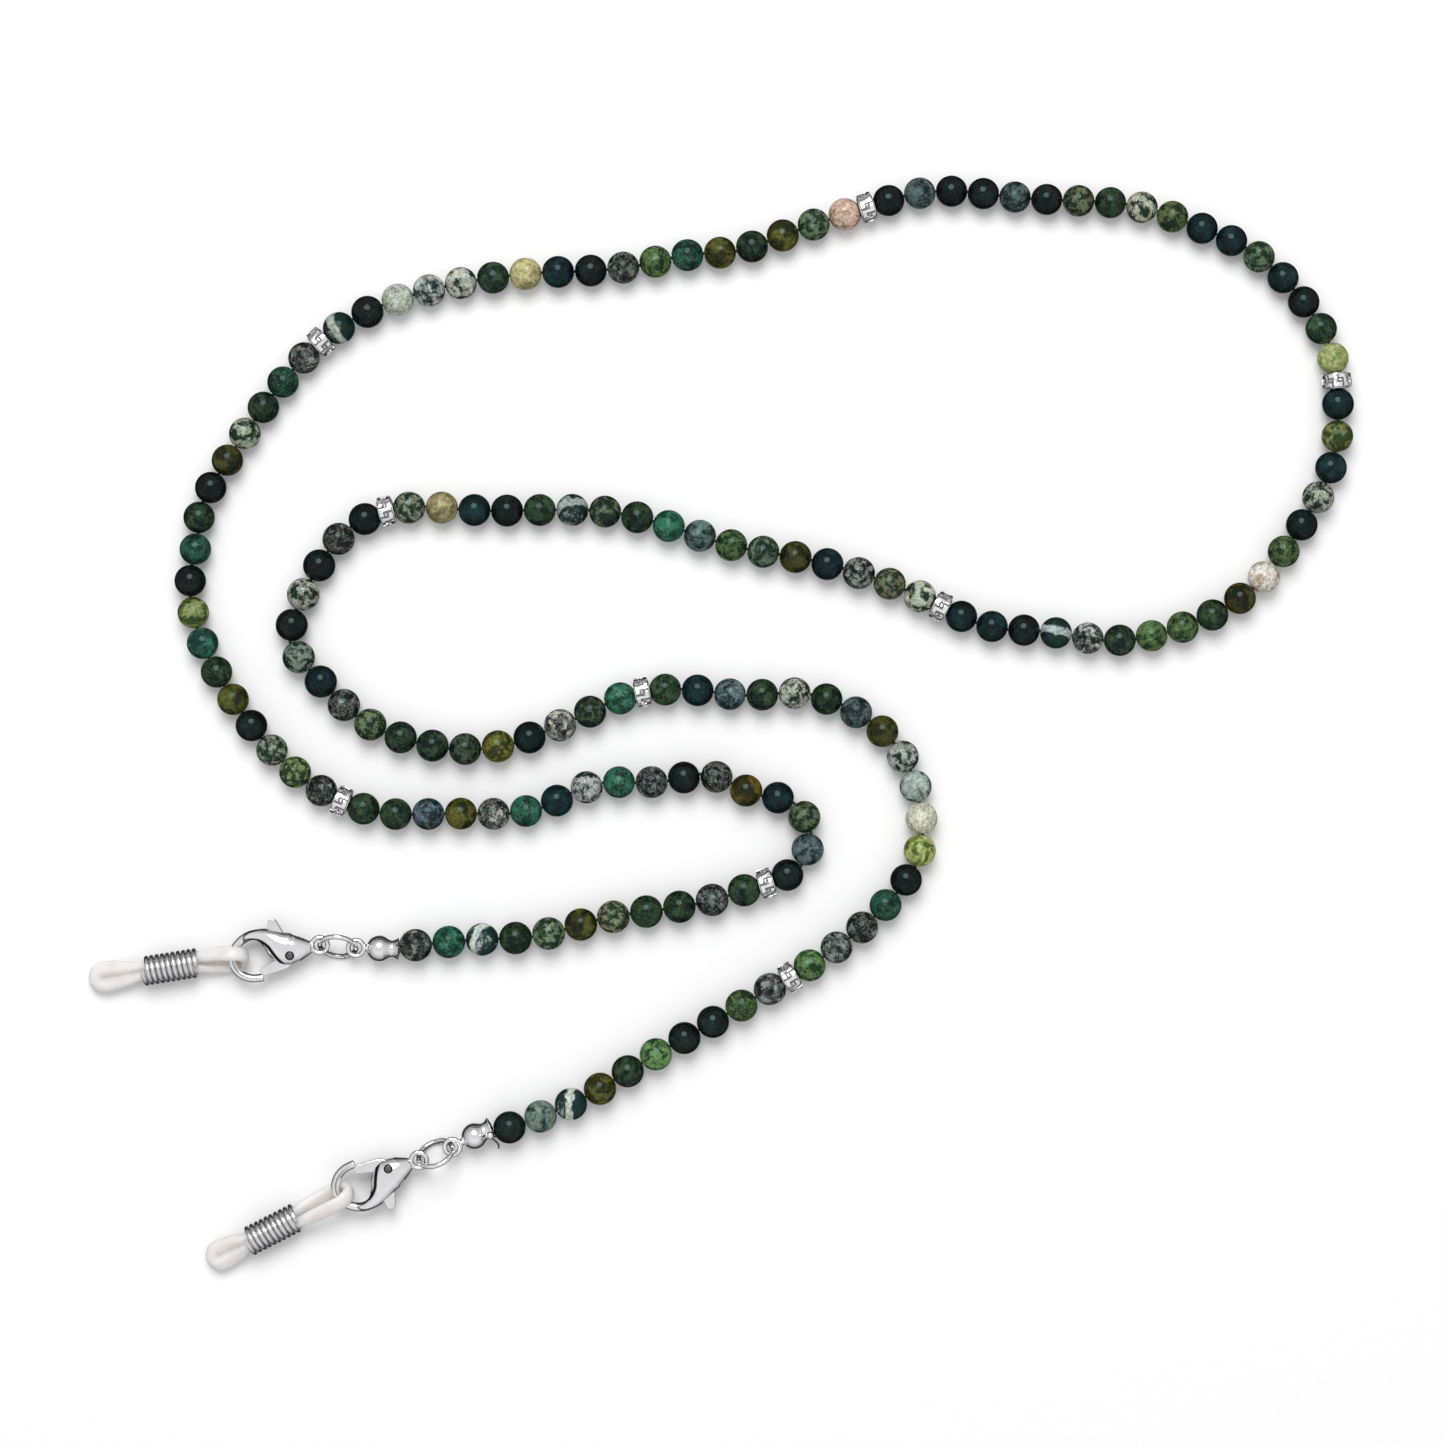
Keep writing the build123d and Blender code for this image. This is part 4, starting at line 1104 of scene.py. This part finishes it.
def tail(points, z, letter):
    pts = catmull([(x - ORIGIN[0], y - ORIGIN[1], z) for x, y in points], 40)
    radius = np.full(len(pts), 0.115)
    radius[0] = radius[-1] = 0.09
    verts, faces = sweep(pts, radius, 12)
    return place(f"cut_tail_{letter}", verts, faces, "strand", "black_thread", [f"thread_tail_{letter}"])


for letter, end in (("a", END_A), ("b", END_B)):
    on_thread += calotte("calotte", end, letter)
    on_thread.append(knot(end, letter))
    jump_ring(end, letter)
    body = clasp_body(f"lobster_body_{letter}", end)
    dress(body, f"clasp_{letter}", "silver_plate", [f"clasp_body_{letter}"], True, 40)
    lever = clasp_lever(f"lobster_gate_{letter}", end)
    dress(lever, f"lever_{letter}", "silver_plate", [f"clasp_lever_{letter}"], True, 40)
    coil(end, letter)
    silicone(end, letter)
tails = [
    tail([(-39.80, -26.90), (-39.42, -27.25), (-39.38, -27.85), (-39.75, -28.35)], THREAD_Z + 1.52, "a"),
    tail([(-28.05, -50.55), (-27.70, -50.85), (-27.35, -51.25), (-27.30, -51.75)], THREAD_Z + 1.42, "b"),
]

# ------------------------------------------------------------------ kept CAD nodes
for name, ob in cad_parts.items():
    material = None
    if name.startswith("clasp_pin"):
        material = MAT["pin_steel"]
    elif name.startswith("crimp_ball"):
        material = MAT["silver_plate"]
    elif name.startswith("clasp_spring"):
        material = MAT["spring_wire"]
    if material is not None:
        ob.data.materials.clear()
        ob.data.materials.append(material)

# ------------------------------------------------------------------ thread
thread.data.materials.append(MAT["black_thread"])
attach(thread, "strand")
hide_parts("beading_thread")

# ------------------------------------------------------------------ light
key = bpy.data.objects.new("key", bpy.data.lights.new("key", "AREA"))
key.data.shape = "DISK"
key.data.size = 0.45
key.data.energy = 3.15
key.location = (-0.04, 0.36, 0.58)
scene.collection.objects.link(key)
key.rotation_euler = (Vector((0, 0, 0)) - key.location).to_track_quat("-Z", "Y").to_euler()

world = bpy.data.worlds.new("studio")
scene.world = world
world.use_nodes = True
wt = world.node_tree
wt.nodes.clear()
w_out = wt.nodes.new("ShaderNodeOutputWorld")
w_bg = wt.nodes.new("ShaderNodeBackground")
w_plain = wt.nodes.new("ShaderNodeBackground")
w_mix = wt.nodes.new("ShaderNodeMixShader")
w_path = wt.nodes.new("ShaderNodeLightPath")
w_co = wt.nodes.new("ShaderNodeTexCoord")
w_xyz = wt.nodes.new("ShaderNodeSeparateXYZ")
w_ramp = wt.nodes.new("ShaderNodeValToRGB")
wt.links.new(w_co.outputs["Generated"], w_xyz.inputs[0])
w_half = wt.nodes.new("ShaderNodeMapRange")
w_half.inputs["From Min"].default_value = -1.0
wt.links.new(w_xyz.outputs[2], w_half.inputs["Value"])
wt.links.new(w_half.outputs[0], w_ramp.inputs[0])
ramp = w_ramp.color_ramp
SKY = ((-1.0, 0.40), (-0.93, 0.30), (-0.84, 0.08), (-0.62, 0.01), (-0.40, 0.06), (-0.20, 0.28), (0.0, 0.40), (0.20, 0.50),
       (0.45, 0.64), (0.70, 0.76), (0.86, 0.79), (1.0, 0.75))
for position, value in SKY[1:-1]:
    ramp.elements.new((position + 1) / 2)
for e, (position, value) in zip(ramp.elements, SKY):
    e.position = (position + 1) / 2
    e.color = (value, value, value * 1.005, 1)
w_side = wt.nodes.new("ShaderNodeMapRange")
w_side.inputs["From Min"].default_value = -1.0
w_side.inputs["To Min"].default_value = 1.10
w_side.inputs["To Max"].default_value = 0.88
wt.links.new(w_xyz.outputs[1], w_side.inputs["Value"])
wt.links.new(w_side.outputs[0], w_bg.inputs["Strength"])
wt.links.new(w_ramp.outputs[0], w_bg.inputs[0])
w_plain.inputs[0].default_value = (0.96, 0.96, 0.96, 1)
wt.links.new(w_path.outputs["Is Camera Ray"], w_mix.inputs[0])
wt.links.new(w_bg.outputs[0], w_mix.inputs[1])
wt.links.new(w_plain.outputs[0], w_mix.inputs[2])
wt.links.new(w_mix.outputs[0], w_out.inputs[0])

# ------------------------------------------------------------------ end
low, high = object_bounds()
